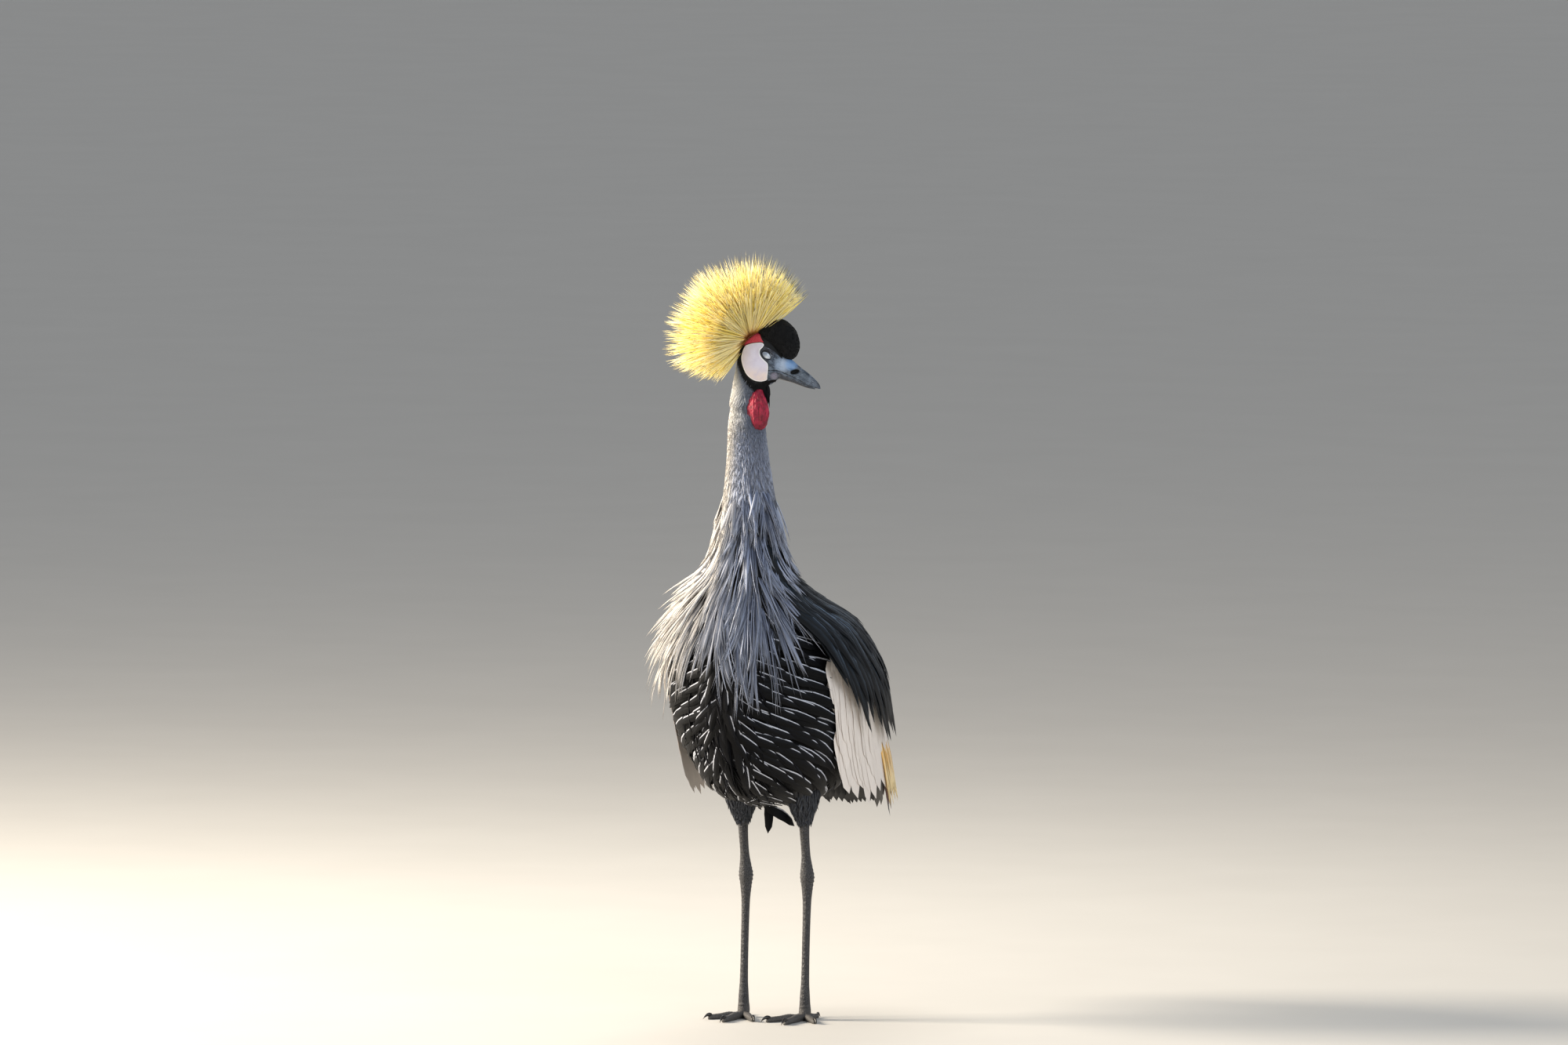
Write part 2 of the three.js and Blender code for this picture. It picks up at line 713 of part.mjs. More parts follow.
// Tail: a root at the rump and black quills under the wings, the middle pair on top.
const TAIL = { height: 396, under: -7, spacing: 4.4, spread: 4.2, quills: 4, length: 128, half: 12 };
const tailPieces = [
  loft(
    [
      [190, 408, 24, 14],
      [225, 393, 24, 12],
      [258, 374, 22, 7],
    ].map(([y, z, half, thick]) =>
      oval(12, [half, thick]).map(([x, up]) => vec(x, y + 0.5 * up, z + 0.85 * up)),
    ),
  ),
];
for (const side of sides) {
  for (let i = 0; i < TAIL.quills; i++) {
    const fan = side * (i + 0.5);
    const layer = 2 * i + (side > 0 ? 1 : 0);
    const line = strand({
      angle: 180,
      height: TAIL.height,
      heading: 0,
      length: TAIL.length * (1 - 0.03 * i),
      lift: () => TAIL.under - 1.2 * layer,
      count: 4,
    });
    for (const [k, { at }] of line.entries()) at.x += fan * (TAIL.spacing + (TAIL.spread * k) / 4);
    tailPieces.push(feather(line, [0.9, 1, 1].map((w) => w * TAIL.half), 0.6));
  }
}
const tail = clearOf(tailPieces, torsoCore, mantlePieces[0], allWingPieces);

// Legs
const THIGH = [
  // height, offset forward, half width, half depth
  [290, -3, 10, 11],
  [303, -5, 15, 18],
  [320, -8, 21, 28],
  [345, -12, 27, 40],
  [372, -14, 30, 46],
];
const LEG = [
  [22, 0, 7.8, 8.4],
  [34, 0, 7.4, 8],
  [55, 1, 6, 6.6],
  [110, 4, 5.8, 6.4],
  [170, 8, 6.2, 7],
  [194, 9, 8.4, 9.6],
  [208, 9, 10.2, 12],
  [222, 7, 8.6, 9.6],
  [240, 4, 6.6, 7.2],
  [270, -1, 6.8, 7.6],
  [290, -3, 8, 9],
];
const ANKLE = [
  [0, -2, 8.6, 9],
  [12, 0, 8.8, 9.6],
  [22, 0, 7.8, 8.4],
];
const TOES = [
  // angle from straight ahead, length, root radius
  [0, 92, 6.2],
  [36, 70, 5.6],
  [-34, 78, 5.8],
  [168, 40, 4.8],
];
const TOE = [
  // share of length, height in radii, radius; the claw starts at 0.84
  [-0.06, 1.3, 0.8],
  [0.05, 0.82, 1.05],
  [0.2, 0.84, 0.85],
  [0.36, 0.82, 0.95],
  [0.56, 0.83, 0.8],
  [0.8, 0.84, 0.66],
  [0.88, 1.5, 0.45],
  [0.95, 1.9, 0.3],
];
const CLAW_TIP = 0.7; // height
function limb(rows, heights, x, sides) {
  return loft(
    heights.map((height) => {
      const [, forward, width, depth] = between(rows, height);
      return oval(sides, [width, depth]).map(([a, b]) => vec(x + a, FEET_Y + forward + b, height));
    }),
  );
}
function toe(side, angle, length, radius) {
  const turn = new THREE.Matrix4()
    .makeTranslation((side * FEET_APART) / 2, FEET_Y, 0)
    .multiply(new THREE.Matrix4().makeRotationZ(rad(-side * angle)));
  const rings = TOE.map(([share, height, r]) =>
    oval(6, [r * radius, r * radius]).map(([a, b]) =>
      vec(a, -share * length, Math.max(height * r * radius + b, 0)).applyMatrix4(turn),
    ),
  );
  return loft([...rings, [vec(0, -length, CLAW_TIP).applyMatrix4(turn)]]);
}

const nodes = {};
for (const [side, name] of [
  [1, "left"],
  [-1, "right"],
]) {
  const x = (side * FEET_APART) / 2;
  nodes["thigh_" + name] = clearOf(
    [limb(THIGH, [290 + GAP, 297, 305, 316, 330, 346, 372], x, 14)],
    torsoCore,
    allWingPieces,
    tailPieces,
  );
  nodes["leg_" + name] = limb(
    LEG,
    [22, 34, 55, 110, 165, 186, 198, 208, 220, 234, 262, 290],
    x,
    10,
  );
  nodes["foot_" + name] = largest(
    joined([
      ...TOES.map(([angle, length, radius]) => toe(side, angle, length, radius)),
      limb(ANKLE, [0, 4, 12, TARSUS_FOOT - GAP], x, 8),
    ]),
  );
}

// Neck: a core with locks of plumes that hang over the breast, the shoulders and the mantle.
// On the right side the longest ones stand off.
const neckDraw = draws(3);
const upperCoat = (height) => 5 * smooth(-height, -HEAD_BASE, -880);
const neckCore = (from, to, count, sidesAround, raised) =>
  loft(
    steps(0, 1, count).map((share) =>
      steps(0, 360, sidesAround)
        .slice(0, -1)
        .map((angle) => {
          const height = from + (to(angle) - from) * share;
          return drape(angle, height, raised(height));
        }),
    ),
  );
const fromFront = (angle) => 180 - Math.abs((((angle % 360) + 360) % 360) - 180);
const neckUpperPieces = [
  neckCore(HEAD_BASE - GAP, () => NECK_JOINT + GAP / 2, 5, 16, upperCoat),
];
const UPPER_ROWS = [
  // height, locks round, length and half width
  [884, 8, 70, 6.6],
  [846, 9, 74, 7],
  [808, 9, 70, 7.6],
];
for (const [row, [height, many, length, half]] of UPPER_ROWS.entries()) {
  for (let i = 0; i < many; i++) {
    neckUpperPieces.push(
      feather(
        strand({
          angle: ((i + (row % 2) / 2 + 0.16 * neckDraw()) * 360) / many,
          height: height + 6 * (neckDraw() - 0.5),
          heading: 8 * (neckDraw() - 0.5),
          length: length * (0.9 + 0.2 * neckDraw()),
          lift: (share, _, z) => upperCoat(z) + lifted(-3, 6)(share),
          count: 3,
        }),
        [half, half],
        1.4,
        true,
      ),
    );
  }
}
const LOWER_ROWS = [
  // height, locks round, length in front, length behind and half width
  [762, 9, 104, 94, 8],
  [728, 10, 122, 90, 8.6],
  [694, 10, 140, 80, 9],
  [660, 10, 156, 66, 9],
  [630, 6, 156, 0, 9],
  [602, 6, 136, 0, 9],
];
const PLUME_EDGES = [-72, 46]; // degrees from the front, beyond which only the short plumes grow
const lowerCore = (angle) => 590 + 58 * smooth(fromFront(angle), 50, 80);
const neckLowerPieces = [
  neckCore(NECK_JOINT - GAP / 2, lowerCore, 5, 18, () => 5),
];
for (const [row, [height, many, front, behind, half]] of LOWER_ROWS.entries()) {
  for (let i = 0; i < many; i++) {
    const round = (i + (row % 2) / 2 + 0.25 * (neckDraw() - 0.5)) / many;
    const [right, left] = PLUME_EDGES;
    const angle = behind ? round * 360 : right + (left - right) * round;
    const away = smooth(fromFront(angle), 48, 84);
    const length = (front + (behind - front) * away) * (0.88 + 0.24 * neckDraw());
    neckLowerPieces.push(
      feather(
        strand({
          angle,
          height: height + 8 * (neckDraw() - 0.5),
          heading: 5 * (neckDraw() - 0.5) + (behind ? 0 : 0.12 * angle),
          turn: 26 * (neckDraw() - 0.5),
          length,
          lift: lifted(1, 15 + 4 * away),
          count: front > 130 ? 4 : 3,
        }),
        (front > 130 ? [0.9, 1, 0.8] : [1, 0.9]).map((w) => w * half),
        1.5,
        true,
      ),
    );
  }
}
// Wind lifts the plumes of the right side away from the body.
const WINDBLOWN = 9;
for (let i = 0; i < WINDBLOWN; i++) {
  const share = i / (WINDBLOWN - 1);
  const gust = 14 + 20 * Math.sin(Math.PI * (0.25 + 0.6 * share)) * (0.8 + 0.3 * neckDraw());
  neckLowerPieces.push(
    feather(
      strand({
        angle: -88 + 34 * ((i * 5) % WINDBLOWN) / (WINDBLOWN - 1),
        height: 716 - 128 * share,
        heading: -4 + 10 * (neckDraw() - 0.5),
        length: 128 + 30 * neckDraw(),
        lift: (s) => lifted(1, 9)(s) + gust * s ** 1.6,
        count: 4,
      }),
      [6.4, 7.4, 6],
      1.6,
      true,
    ),
  );
}
const placedSkull = skullPieces.map(placed);
const neckUpper = clearOf(neckUpperPieces, placedSkull, neckLowerPieces[0]);
const wattle = clearOf(wattleLobes, neckUpperPieces, placedSkull);

const neckLower = clearOf(
  neckLowerPieces,
  torsoPieces,
  mantlePieces,
  allWingPieces.map((pieces) => pieces[0]),
  neckUpperPieces,
);

const onHead = {
  head,
  forehead,
  crest,
  bill_upper: billUpper,
  bill_lower: billLower,
  eye_right: eyes[0],
  eye_left: eyes[1],
};
for (const [name, made] of Object.entries(onHead)) nodes[name] = placed(made);
Object.assign(nodes, {
  wattle,
  torso,
  neck_upper: neckUpper,
  neck_lower: neckLower,
  mantle,
  tail,
  wing_left: wings[0],
  wing_right: wings[1],
});

const COLOURS = {
  // node: colour, roughness
  head: [0xd9d4cf, 0.7],
  forehead: [0x0b0b0d, 0.9],
  crest: [0xe2c878, 0.7],
  bill_upper: [0x5e666e, 0.35],
  bill_lower: [0x626a71, 0.35],
  eye_right: [0xcbd5de, 0.15],
  eye_left: [0xcbd5de, 0.15],
  wattle: [0xb4223a, 0.5],
  neck_upper: [0xaeb6c2, 0.8],
  neck_lower: [0xa2abb9, 0.8],
  torso: [0x2b2d33, 0.75],
  mantle: [0x3a434f, 0.7],
  wing_left: [0xd8d2c4, 0.75],
  wing_right: [0xd8d2c4, 0.75],
  tail: [0x1c1c1f, 0.7],
  thigh_left: [0x3b3d42, 0.8],
  thigh_right: [0x3b3d42, 0.8],
  leg_left: [0x2c2c2e, 0.5],
  leg_right: [0x2c2c2e, 0.5],
  foot_left: [0x2c2c2e, 0.5],
  foot_right: [0x2c2c2e, 0.5],
};
const crane = new THREE.Group();
for (const [name, made] of Object.entries(nodes)) {

  const { vertProperties, triVerts } = made.getMesh();
  const geometry = new THREE.BufferGeometry()
    .setAttribute("position", new THREE.BufferAttribute(vertProperties, 3))
    .setIndex(new THREE.BufferAttribute(triVerts, 1));
  const [color, roughness] = COLOURS[name];
  const mesh = new THREE.Mesh(
    geometry,
    new THREE.MeshStandardMaterial({ color, roughness, metalness: 0 }),
  );
  mesh.name = name;
  crane.add(mesh);
}
// The part's origin is the middle of its footprint, on the floor.
const bounds = new THREE.Box3().setFromObject(crane);
const middle = bounds.getCenter(vec(0, 0, 0));
crane.position.set(-middle.x, -middle.y, -bounds.min.z);
export default crane;
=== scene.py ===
# %% [markdown]
# This notebook dresses a life-size grey crowned crane. The CAD solids give the bird's frame, and
# the script reads nothing else. Everything is modelled in millimetres from the bird's own origin,
# the floor between its feet, and turned into metres in one place. The eyes are the best landmark:
# their CAD boxes say where the whole bird stands in the part's frame.

# %% The packed frame, and a way from millimetres to metres
import math

import bmesh
import bpy
import numpy as np
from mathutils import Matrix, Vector


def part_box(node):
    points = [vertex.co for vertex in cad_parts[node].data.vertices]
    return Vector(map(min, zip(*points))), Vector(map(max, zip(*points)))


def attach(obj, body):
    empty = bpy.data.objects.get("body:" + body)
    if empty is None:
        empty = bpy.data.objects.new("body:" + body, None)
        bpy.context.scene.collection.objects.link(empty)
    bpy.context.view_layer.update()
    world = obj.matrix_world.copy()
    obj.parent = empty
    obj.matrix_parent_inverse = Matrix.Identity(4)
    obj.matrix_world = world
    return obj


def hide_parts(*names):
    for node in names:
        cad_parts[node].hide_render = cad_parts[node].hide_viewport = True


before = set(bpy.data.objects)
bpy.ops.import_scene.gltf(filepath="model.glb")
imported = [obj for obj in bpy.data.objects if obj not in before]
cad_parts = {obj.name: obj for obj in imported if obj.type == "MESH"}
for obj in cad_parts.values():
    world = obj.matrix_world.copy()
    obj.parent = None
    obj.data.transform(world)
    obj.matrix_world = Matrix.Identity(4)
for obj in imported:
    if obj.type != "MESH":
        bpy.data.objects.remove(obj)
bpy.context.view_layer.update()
ROOT = "root"
EYE_LINE = np.array([23.3, -80.0, 975.0])  # midway between the eyes, in the bird's millimetres
HEAD_SWING = math.radians(22)  # the bill points this far behind the bird's left


def middle_of(node):
    low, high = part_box(node)
    return (np.array(low) + np.array(high)) / 2


ORIGIN = (middle_of("eye_left") + middle_of("eye_right")) / 2 - EYE_LINE / 1000


def metres(points):
    return np.asarray(points, float) / 1000 + ORIGIN


def from_head(points):
    """Bill-forward, left and up in the head's millimetres, to the bird's."""
    ahead, left, up = np.moveaxis(np.asarray(points, float), -1, 0)
    c, s = math.cos(HEAD_SWING), math.sin(HEAD_SWING)
    return np.stack([ahead * c - left * s, ahead * s + left * c, up], -1) + EYE_LINE


print("bird origin in the part's frame, metres:", ORIGIN.round(4))

# %% [markdown]
# Smooth shapes need smooth numbers. A short table of stations along the body is all that a
# modeller measures, and a cubic curve through its rows gives every size between them. Most tables
# below are read this way.

# %% Curves through tables, and random draws


def between(rows, place):
    """Smooth rows between those of a table whose first column is the place."""
    rows, place = np.asarray(rows, float), np.asarray(place, float)
    last = len(rows) - 1
    i = np.clip(np.searchsorted(rows[:, 0], place, side="left") - 1, 0, last - 1)
    a, b = rows[i], rows[i + 1]
    before, after = rows[np.maximum(i - 1, 0)], rows[np.minimum(i + 2, last)]
    span = b[..., :1] - a[..., :1]
    t = np.clip((place[..., None] - a[..., :1]) / span, 0, 1)
    rise = 3 * t**2 - 2 * t**3
    slope_a = (b - before) / (b[..., :1] - before[..., :1]) * span
    slope_b = (after - a) / (after[..., :1] - a[..., :1]) * span
    return a * (1 - rise) + b * rise + slope_a * (t**3 - 2 * t**2 + t) + slope_b * (t**3 - t**2)


def smooth(x, low, high):
    t = np.clip((np.asarray(x, float) - low) / (high - low), 0, 1)
    return t * t * (3 - 2 * t)


def unit(v):
    return v / np.maximum(np.linalg.norm(v, axis=-1, keepdims=True), 1e-12)


def rgb(hex_colour):
    """A colour from its web code, in the linear light that a shader works in."""
    parts = np.array([(hex_colour >> shift & 255) / 255 for shift in (16, 8, 0)])
    return np.where(parts <= 0.04045, parts / 12.92, ((parts + 0.055) / 1.055) ** 2.4)


print("white is", rgb(0xFFFFFF))

# %% [markdown]
# A material is a small program of nodes. Writing node links by hand hides the idea, so two helpers
# are made first. The first is a socket that can be added and multiplied like a number: a mask is
# then written as the sum that it is, and each operator adds its Math node.

# %% Sockets with arithmetic


class Value:
    """A number socket of a finish: sums and products of it add Math nodes."""

    def __init__(self, finish, socket):
        self.finish, self.socket = finish, socket

    def _maths(self, operation, a, b=0.0):
        return self.finish.node("ShaderNodeMath", {"operation": operation}, {0: a, 1: b})

    def __add__(self, other):
        return self._maths("ADD", self, other)

    def __sub__(self, other):
        return self._maths("SUBTRACT", self, other)

    def __rsub__(self, other):
        return self._maths("SUBTRACT", other, self)

    def __mul__(self, other):
        return self._maths("MULTIPLY", self, other)

    __radd__ = __add__
    __rmul__ = __mul__

    def size(self):
        return self._maths("ABSOLUTE", self)

    def least(self, other):
        return self._maths("MINIMUM", self, other)

    def ramp(self, low, high, start=0.0, end=1.0):
        """A soft step from start to end while this value goes from low to high."""
        return self.finish.node(
            "ShaderNodeMapRange",
            {"interpolation_type": "SMOOTHSTEP"},
            {0: self, 1: low, 2: high, 3: start, 4: end},
        )


print("a socket's own sums:", [name for name in vars(Value) if name[0] != "_"])

# %% [markdown]
# The second helper is a finish, which owns a material and makes its nodes. What is the same all
# over a surface is set on the shader when the finish is made. What changes over it is linked at
# the end, by show. The places that a pattern follows are given in millimetres, in the bird's frame
# or in the head's.

# %% Finishes


class Finish:
    """A material under construction, with one shader whose constants are set straight away."""

    def __init__(self, name, **constants):
        self.material = bpy.data.materials.new(name)
        self.material.use_nodes = True
        self.tree = self.material.node_tree
        self.shader = self.tree.nodes["Principled BSDF"]
        for socket, value in constants.items():
            self.input(socket).default_value = value

    def input(self, name):
        return self.shader.inputs[name.replace("_", " ").title().replace("Ior", "IOR")]

    def node(self, kind, settings, inputs, output=0):
        made = self.tree.nodes.new(kind)
        for name, value in settings.items():
            setattr(made, name, value)
        for key, value in inputs.items():
            self.feed(made.inputs[key], value)
        return Value(self, made.outputs[output])

    def feed(self, socket, value):
        if isinstance(value, Value):
            self.tree.links.new(value.socket, socket)
        elif np.ndim(value) == 0:
            socket.default_value = float(value)
        else:
            wanted = len(socket.default_value)
            socket.default_value = [*map(float, value), 1.0][:wanted]

    def split(self, vector):
        made = self.tree.nodes.new("ShaderNodeSeparateXYZ")
        self.feed(made.inputs[0], vector)
        return [Value(self, made.outputs[k]) for k in range(3)]

    def combine(self, x, y, z):
        return self.node("ShaderNodeCombineXYZ", {}, {0: x, 1: y, 2: z})

    def place(self):
        """Where a point is, in millimetres of the bird's frame."""
        objects = self.node("ShaderNodeTexCoord", {}, {}, "Object")
        moved = self.node(
            "ShaderNodeVectorMath", {"operation": "SUBTRACT"}, {0: objects, 1: ORIGIN}
        )
        return self.node(
            "ShaderNodeVectorMath", {"operation": "SCALE"}, {0: moved, "Scale": 1000.0}
        )

    def head_place(self):
        """The same in the head's frame: ahead along the bill, left, and up."""
        moved = self.node(
            "ShaderNodeVectorMath", {"operation": "SUBTRACT"}, {0: self.place(), 1: EYE_LINE}
        )
        return self.node(
            "ShaderNodeVectorRotate",
            {"rotation_type": "Z_AXIS"},
            {"Vector": moved, "Angle": -HEAD_SWING},
        )

    def map(self, name):
        return self.node("ShaderNodeUVMap", {"uv_map": name}, {})

    def number(self, name):
        return self.node("ShaderNodeAttribute", {"attribute_name": name}, {}, "Fac")

    def tint(self, name):
        return self.node("ShaderNodeAttribute", {"attribute_name": name}, {}, "Color")

    def noise(self, vector, scale, detail=3.0, roughness=0.55):
        return self.node(
            "ShaderNodeTexNoise",
            {},
            {"Vector": vector, "Scale": scale, "Detail": detail, "Roughness": roughness},
        )

    def cells(self, vector, scale, feature="F1", output="Distance"):
        return self.node(
            "ShaderNodeTexVoronoi", {"feature": feature}, {"Vector": vector, "Scale": scale}, output
        )

    def mix(self, share, a, b, blend="MIX"):
        return self.node(
            "ShaderNodeMix", {"data_type": "RGBA", "blend_type": blend}, {0: share, 6: a, 7: b}, 2
        )

    def shade(self, colour, share):
        """A colour made darker or lighter by a factor."""
        grey = self.combine(share, share, share)
        return self.mix(1.0, colour, grey, "MULTIPLY")

    def bump(self, height, distance, strength=1.0):
        normal = self.node(
            "ShaderNodeBump", {}, {"Height": height, "Distance": distance, "Strength": strength}
        )
        self.feed(self.shader.inputs["Normal"], normal)

    def show(self, **links):
        for socket, value in links.items():
            self.feed(self.input(socket), value)
        return self.material


print("helpers for materials are ready")

# %% [markdown]
# The picture is taken with a long lens from the bird's front left, almost level with the bird, so
# the camera stands far off and its view is nearly parallel. One photo pixel is 1.14 mm at the
# bird. The shift between the middle of the picture and the bird is made by aiming beside it.

# %% Camera
PHOTO_WIDE, PHOTO_HIGH = 2000, 1333
MM_PER_PIXEL = 1.14
FLOOR_PIXEL = (985, 1300)  # where the bird's origin falls in the photo
AZIMUTH, ELEVATION = math.radians(22), math.radians(4.5)
LENS, SENSOR = 400.0, 36.0


def toward(azimuth, elevation):
    """A direction from the bird, by azimuth from its breast towards its left, and elevation."""
    flat = math.cos(elevation)
    return Vector((math.sin(azimuth) * flat, -math.cos(azimuth) * flat, math.sin(elevation)))


def make_camera():
    back = toward(AZIMUTH, ELEVATION)
    right = Vector((math.cos(AZIMUTH), math.sin(AZIMUTH), 0))
    up = back.cross(right)
    across = (PHOTO_WIDE / 2 - FLOOR_PIXEL[0]) * MM_PER_PIXEL / 1000
    above = (FLOOR_PIXEL[1] - PHOTO_HIGH / 2) * MM_PER_PIXEL / 1000
    aim = Vector(ORIGIN) + right * across + up * above
    camera = bpy.data.objects.new("camera", bpy.data.cameras.new("camera"))
    camera.data.lens, camera.data.sensor_width = LENS, SENSOR
    distance = PHOTO_WIDE * MM_PER_PIXEL / 1000 * LENS / SENSOR
    camera.data.clip_end = 4 * distance
    camera.location = aim + back * distance
    camera.rotation_euler = (-back).to_track_quat("-Z", "Y").to_euler()
    bpy.context.scene.collection.objects.link(camera)
    bpy.context.scene.camera = camera
    return distance


print("camera distance, metres:", round(make_camera(), 2))

# %% [markdown]
# The stage is a pale floor under three large soft lamps: a strong warm one on the bird's right,
# which whitens that edge of the neck, a weak cool one on its left, and a weak one high up behind
# it. Most of the light on the shaded side comes from the pale blue world.

# %% Floor and lamps
BREAST_HEIGHT = 0.6  # metres: the lamps aim here
FLOOR_HALF = 120  # metres, far enough for the floor to reach the horizon
FLOOR_GREY, FLOOR_PALE = rgb(0xC0BDB7), rgb(0xC6C3BD)
SKY = (0.86, 0.9, 0.96, 1)
LAMPS = [
    # name, azimuth and elevation in degrees, distance and size in metres, watts, colour
    ("key", -72, 22, 5.0, 1.9, 660, (1.0, 0.89, 0.74)),
    ("fill", 58, 24, 3.4, 2.0, 40, (0.82, 0.90, 1.0)),
    ("back", 205, 50, 2.8, 1.5, 34, (1.0, 0.95, 0.86)),
]


def lamp(name, azimuth, elevation, distance, size, watts, colour):
    light = bpy.data.lights.new(name, "AREA")
    light.shape, light.size, light.energy, light.color = "DISK", size, watts, colour
    thing = bpy.data.objects.new(name, light)
    way = toward(math.radians(azimuth), math.radians(elevation))
    thing.location = Vector(ORIGIN) + Vector((0, 0, BREAST_HEIGHT)) + way * distance
    thing.rotation_euler = (-way).to_track_quat("-Z", "Y").to_euler()
    bpy.context.scene.collection.objects.link(thing)


def make_stage():
    bm = bmesh.new()
    bmesh.ops.create_grid(bm, x_segments=1, y_segments=1, size=FLOOR_HALF)
    mesh = bpy.data.meshes.new("floor")
    bm.to_mesh(mesh)
    bm.free()
    floor = bpy.data.objects.new("floor", mesh)
    bpy.context.scene.collection.objects.link(floor)
    pale = Finish("floor_paper", roughness=0.85)
    mottle = pale.noise(pale.place(), 0.004, 2.0)
    mesh.materials.append(pale.show(base_color=pale.mix(mottle, FLOOR_GREY, FLOOR_PALE)))
    world = bpy.data.worlds.new("studio")
    world.use_nodes = True
    background = world.node_tree.nodes["Background"]
    background.inputs["Color"].default_value = SKY
    background.inputs["Strength"].default_value = 0.5
    bpy.context.scene.world = world
    bpy.context.scene.view_settings.view_transform = "Standard"


make_stage()
for row in LAMPS:
    lamp(*row)
print("lamps:", [row[0] for row in LAMPS])

# %% [markdown]
# The body is a stack of rounded rings. Its outer surface, the drape, is what the feathers lie on:
# a point of it is named by an angle round the body from the front of the breast, positive to the
# left, and a height. Below the hanging height the drape leaves the belly and trails backwards, as
# the folded wings do.

# %% The drape of the body
HANG = 455.0
SKIRT_BACK, SKIRT_IN = 0.7, 0.12
BODY = [
    # height, half width, front, back, and how far the middle is off the midplane
    (318, 24, -25, 55, 0),
    (326, 55, -70, 110, 0),
    (345, 84, -112, 165, 0),
    (380, 106, -146, 205, 0),
    (430, 124, -166, 222, -6),
    (480, 130, -174, 205, -9),
    (530, 122, -172, 160, -9),
    (575, 104, -164, 105, -7),
    (615, 80, -154, 45, -4),
    (650, 56, -142, -20, 0),
    (690, 42, -130, -44, 0),
    (740, 34, -122, -54, 0),
    (800, 27, -116, -61, -1),
    (866, 22, -113, -68, -3),
    (920, 20, -113, -69, -4),
]
BODY_POWER = 2.15


def rounded(x, power=BODY_POWER):
    return np.sign(x) * np.abs(x) ** (2 / power)


def body_point(angle, height, hang=HANG):
    angle, height = np.radians(angle), np.asarray(height, float)
    hung = np.minimum(height - hang, 0)
    row = between(BODY, np.maximum(height, hang))
    half, front, back, middle = (row[..., k] for k in (1, 2, 3, 4))
    width, rear = half + SKIRT_IN * hung, back - SKIRT_BACK * hung
    x = middle + width * rounded(np.sin(angle))
    y = (front + rear) / 2 - (rear - front) / 2 * rounded(np.cos(angle))
    return np.stack([x, y, height + 0 * x], -1)


def outward(angle, height, hang=HANG):
    across = body_point(angle + 2, height, hang) - body_point(angle - 2, height, hang)
    up = body_point(angle, height + 3, hang) - body_point(angle, height - 3, hang)
    return unit(np.cross(across, up))


def drape(angle, height, raised=0.0, hang=HANG):
    lift = np.asarray(raised, float)[..., None]
    return body_point(angle, height, hang) + outward(angle, height, hang) * lift


print("the breast at mid height stands at", drape(np.array([0.0]), np.array([480.0])).round(1))

# %% [markdown]
# Bodies, bills, legs and toes are all lofts: a ring of vertices that is drawn out along the form.
# In bmesh that is a circle, then an extrusion of its edges for each new ring, with the vertices
# moved to their places. The open ends are filled and their middles raised to a point by poke. An
# extrusion may make its faces in another order in each run, so they are sorted at the end: random
# points are later drawn from them by number.

# %% A loft out of rings


def loft(bm, rings, ends=(True, True)):
    """Adds a loft through rings of points in the bird's millimetres, and returns its vertices."""
    count = rings.shape[1]
    ring = bmesh.ops.create_circle(bm, segments=count, radius=1.0)["verts"]
    rows = []
    for r, points in enumerate(metres(rings)):
        if r:
            edges = [bm.edges.get((ring[k - 1], ring[k])) for k in range(count)]
            grown = bmesh.ops.extrude_edge_only(bm, edges=edges)["geom"]
            fresh = {v for v in grown if isinstance(v, bmesh.types.BMVert)}
            ring = [next(w for e in v.link_edges if (w := e.other_vert(v)) in fresh) for v in ring]
        for v, point in zip(ring, points):
            v.co = point
        rows.append(ring)
    for wanted, end in zip(ends, (rows[0], rows[-1])):
        if wanted:
            cap = bmesh.ops.contextual_create(bm, geom=end)["faces"]
            bmesh.ops.poke(bm, faces=cap)
    return rows


def face_order(face):
    """A number for each face that is the same in every run, made from its lowest vertices."""
    low = sorted(v.index for v in face.verts)
    return (low[0] * 1e5 + low[1]) * 1e5 + low[2]


def piece(name, bm, finish, *nodes):
    """Turns a bmesh into an object of the bird that rides on its only body."""
    bmesh.ops.recalc_face_normals(bm, faces=bm.faces)
    bm.verts.index_update()
    bm.faces.sort(key=face_order)
    mesh = bpy.data.meshes.new(name)
    bm.to_mesh(mesh)
    bm.free()
    mesh.shade_smooth()
    return dressed(name, mesh, finish, *nodes)


def dressed(name, mesh, finish, *nodes):
    made = bpy.data.objects.new(name, mesh)
    bpy.context.scene.collection.objects.link(made)
    mesh.materials.append(finish)
    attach(made, ROOT)
    if nodes:
        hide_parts(*nodes)
    print(name, len(mesh.polygons), "faces")
    return made


def points_of(mesh):
    co = np.empty(len(mesh.vertices) * 3)
    mesh.vertices.foreach_get("co", co)
    return (co.reshape(-1, 3) - ORIGIN) * 1000


def normals_of(mesh):
    normal = np.empty(len(mesh.vertices) * 3, np.float32)
    mesh.vertex_normals.foreach_get("vector", normal)
    return normal.reshape(-1, 3).astype(float)


def move_points(mesh, points):
    mesh.vertices.foreach_set("co", metres(points).ravel())
    mesh.update()


def in_head(points):
    """Points of the bird in the head's own frame."""
    x, y, z = np.moveaxis(np.asarray(points, float) - EYE_LINE, -1, 0)
    c, s = math.cos(HEAD_SWING), math.sin(HEAD_SWING)
    return np.stack([x * c + y * s, -x * s + y * c, z], -1)


def superellipse(count, power=2.0):
    angle = np.linspace(0, 2 * np.pi, count, endpoint=False)
    return rounded(np.cos(angle), power), rounded(np.sin(angle), power)

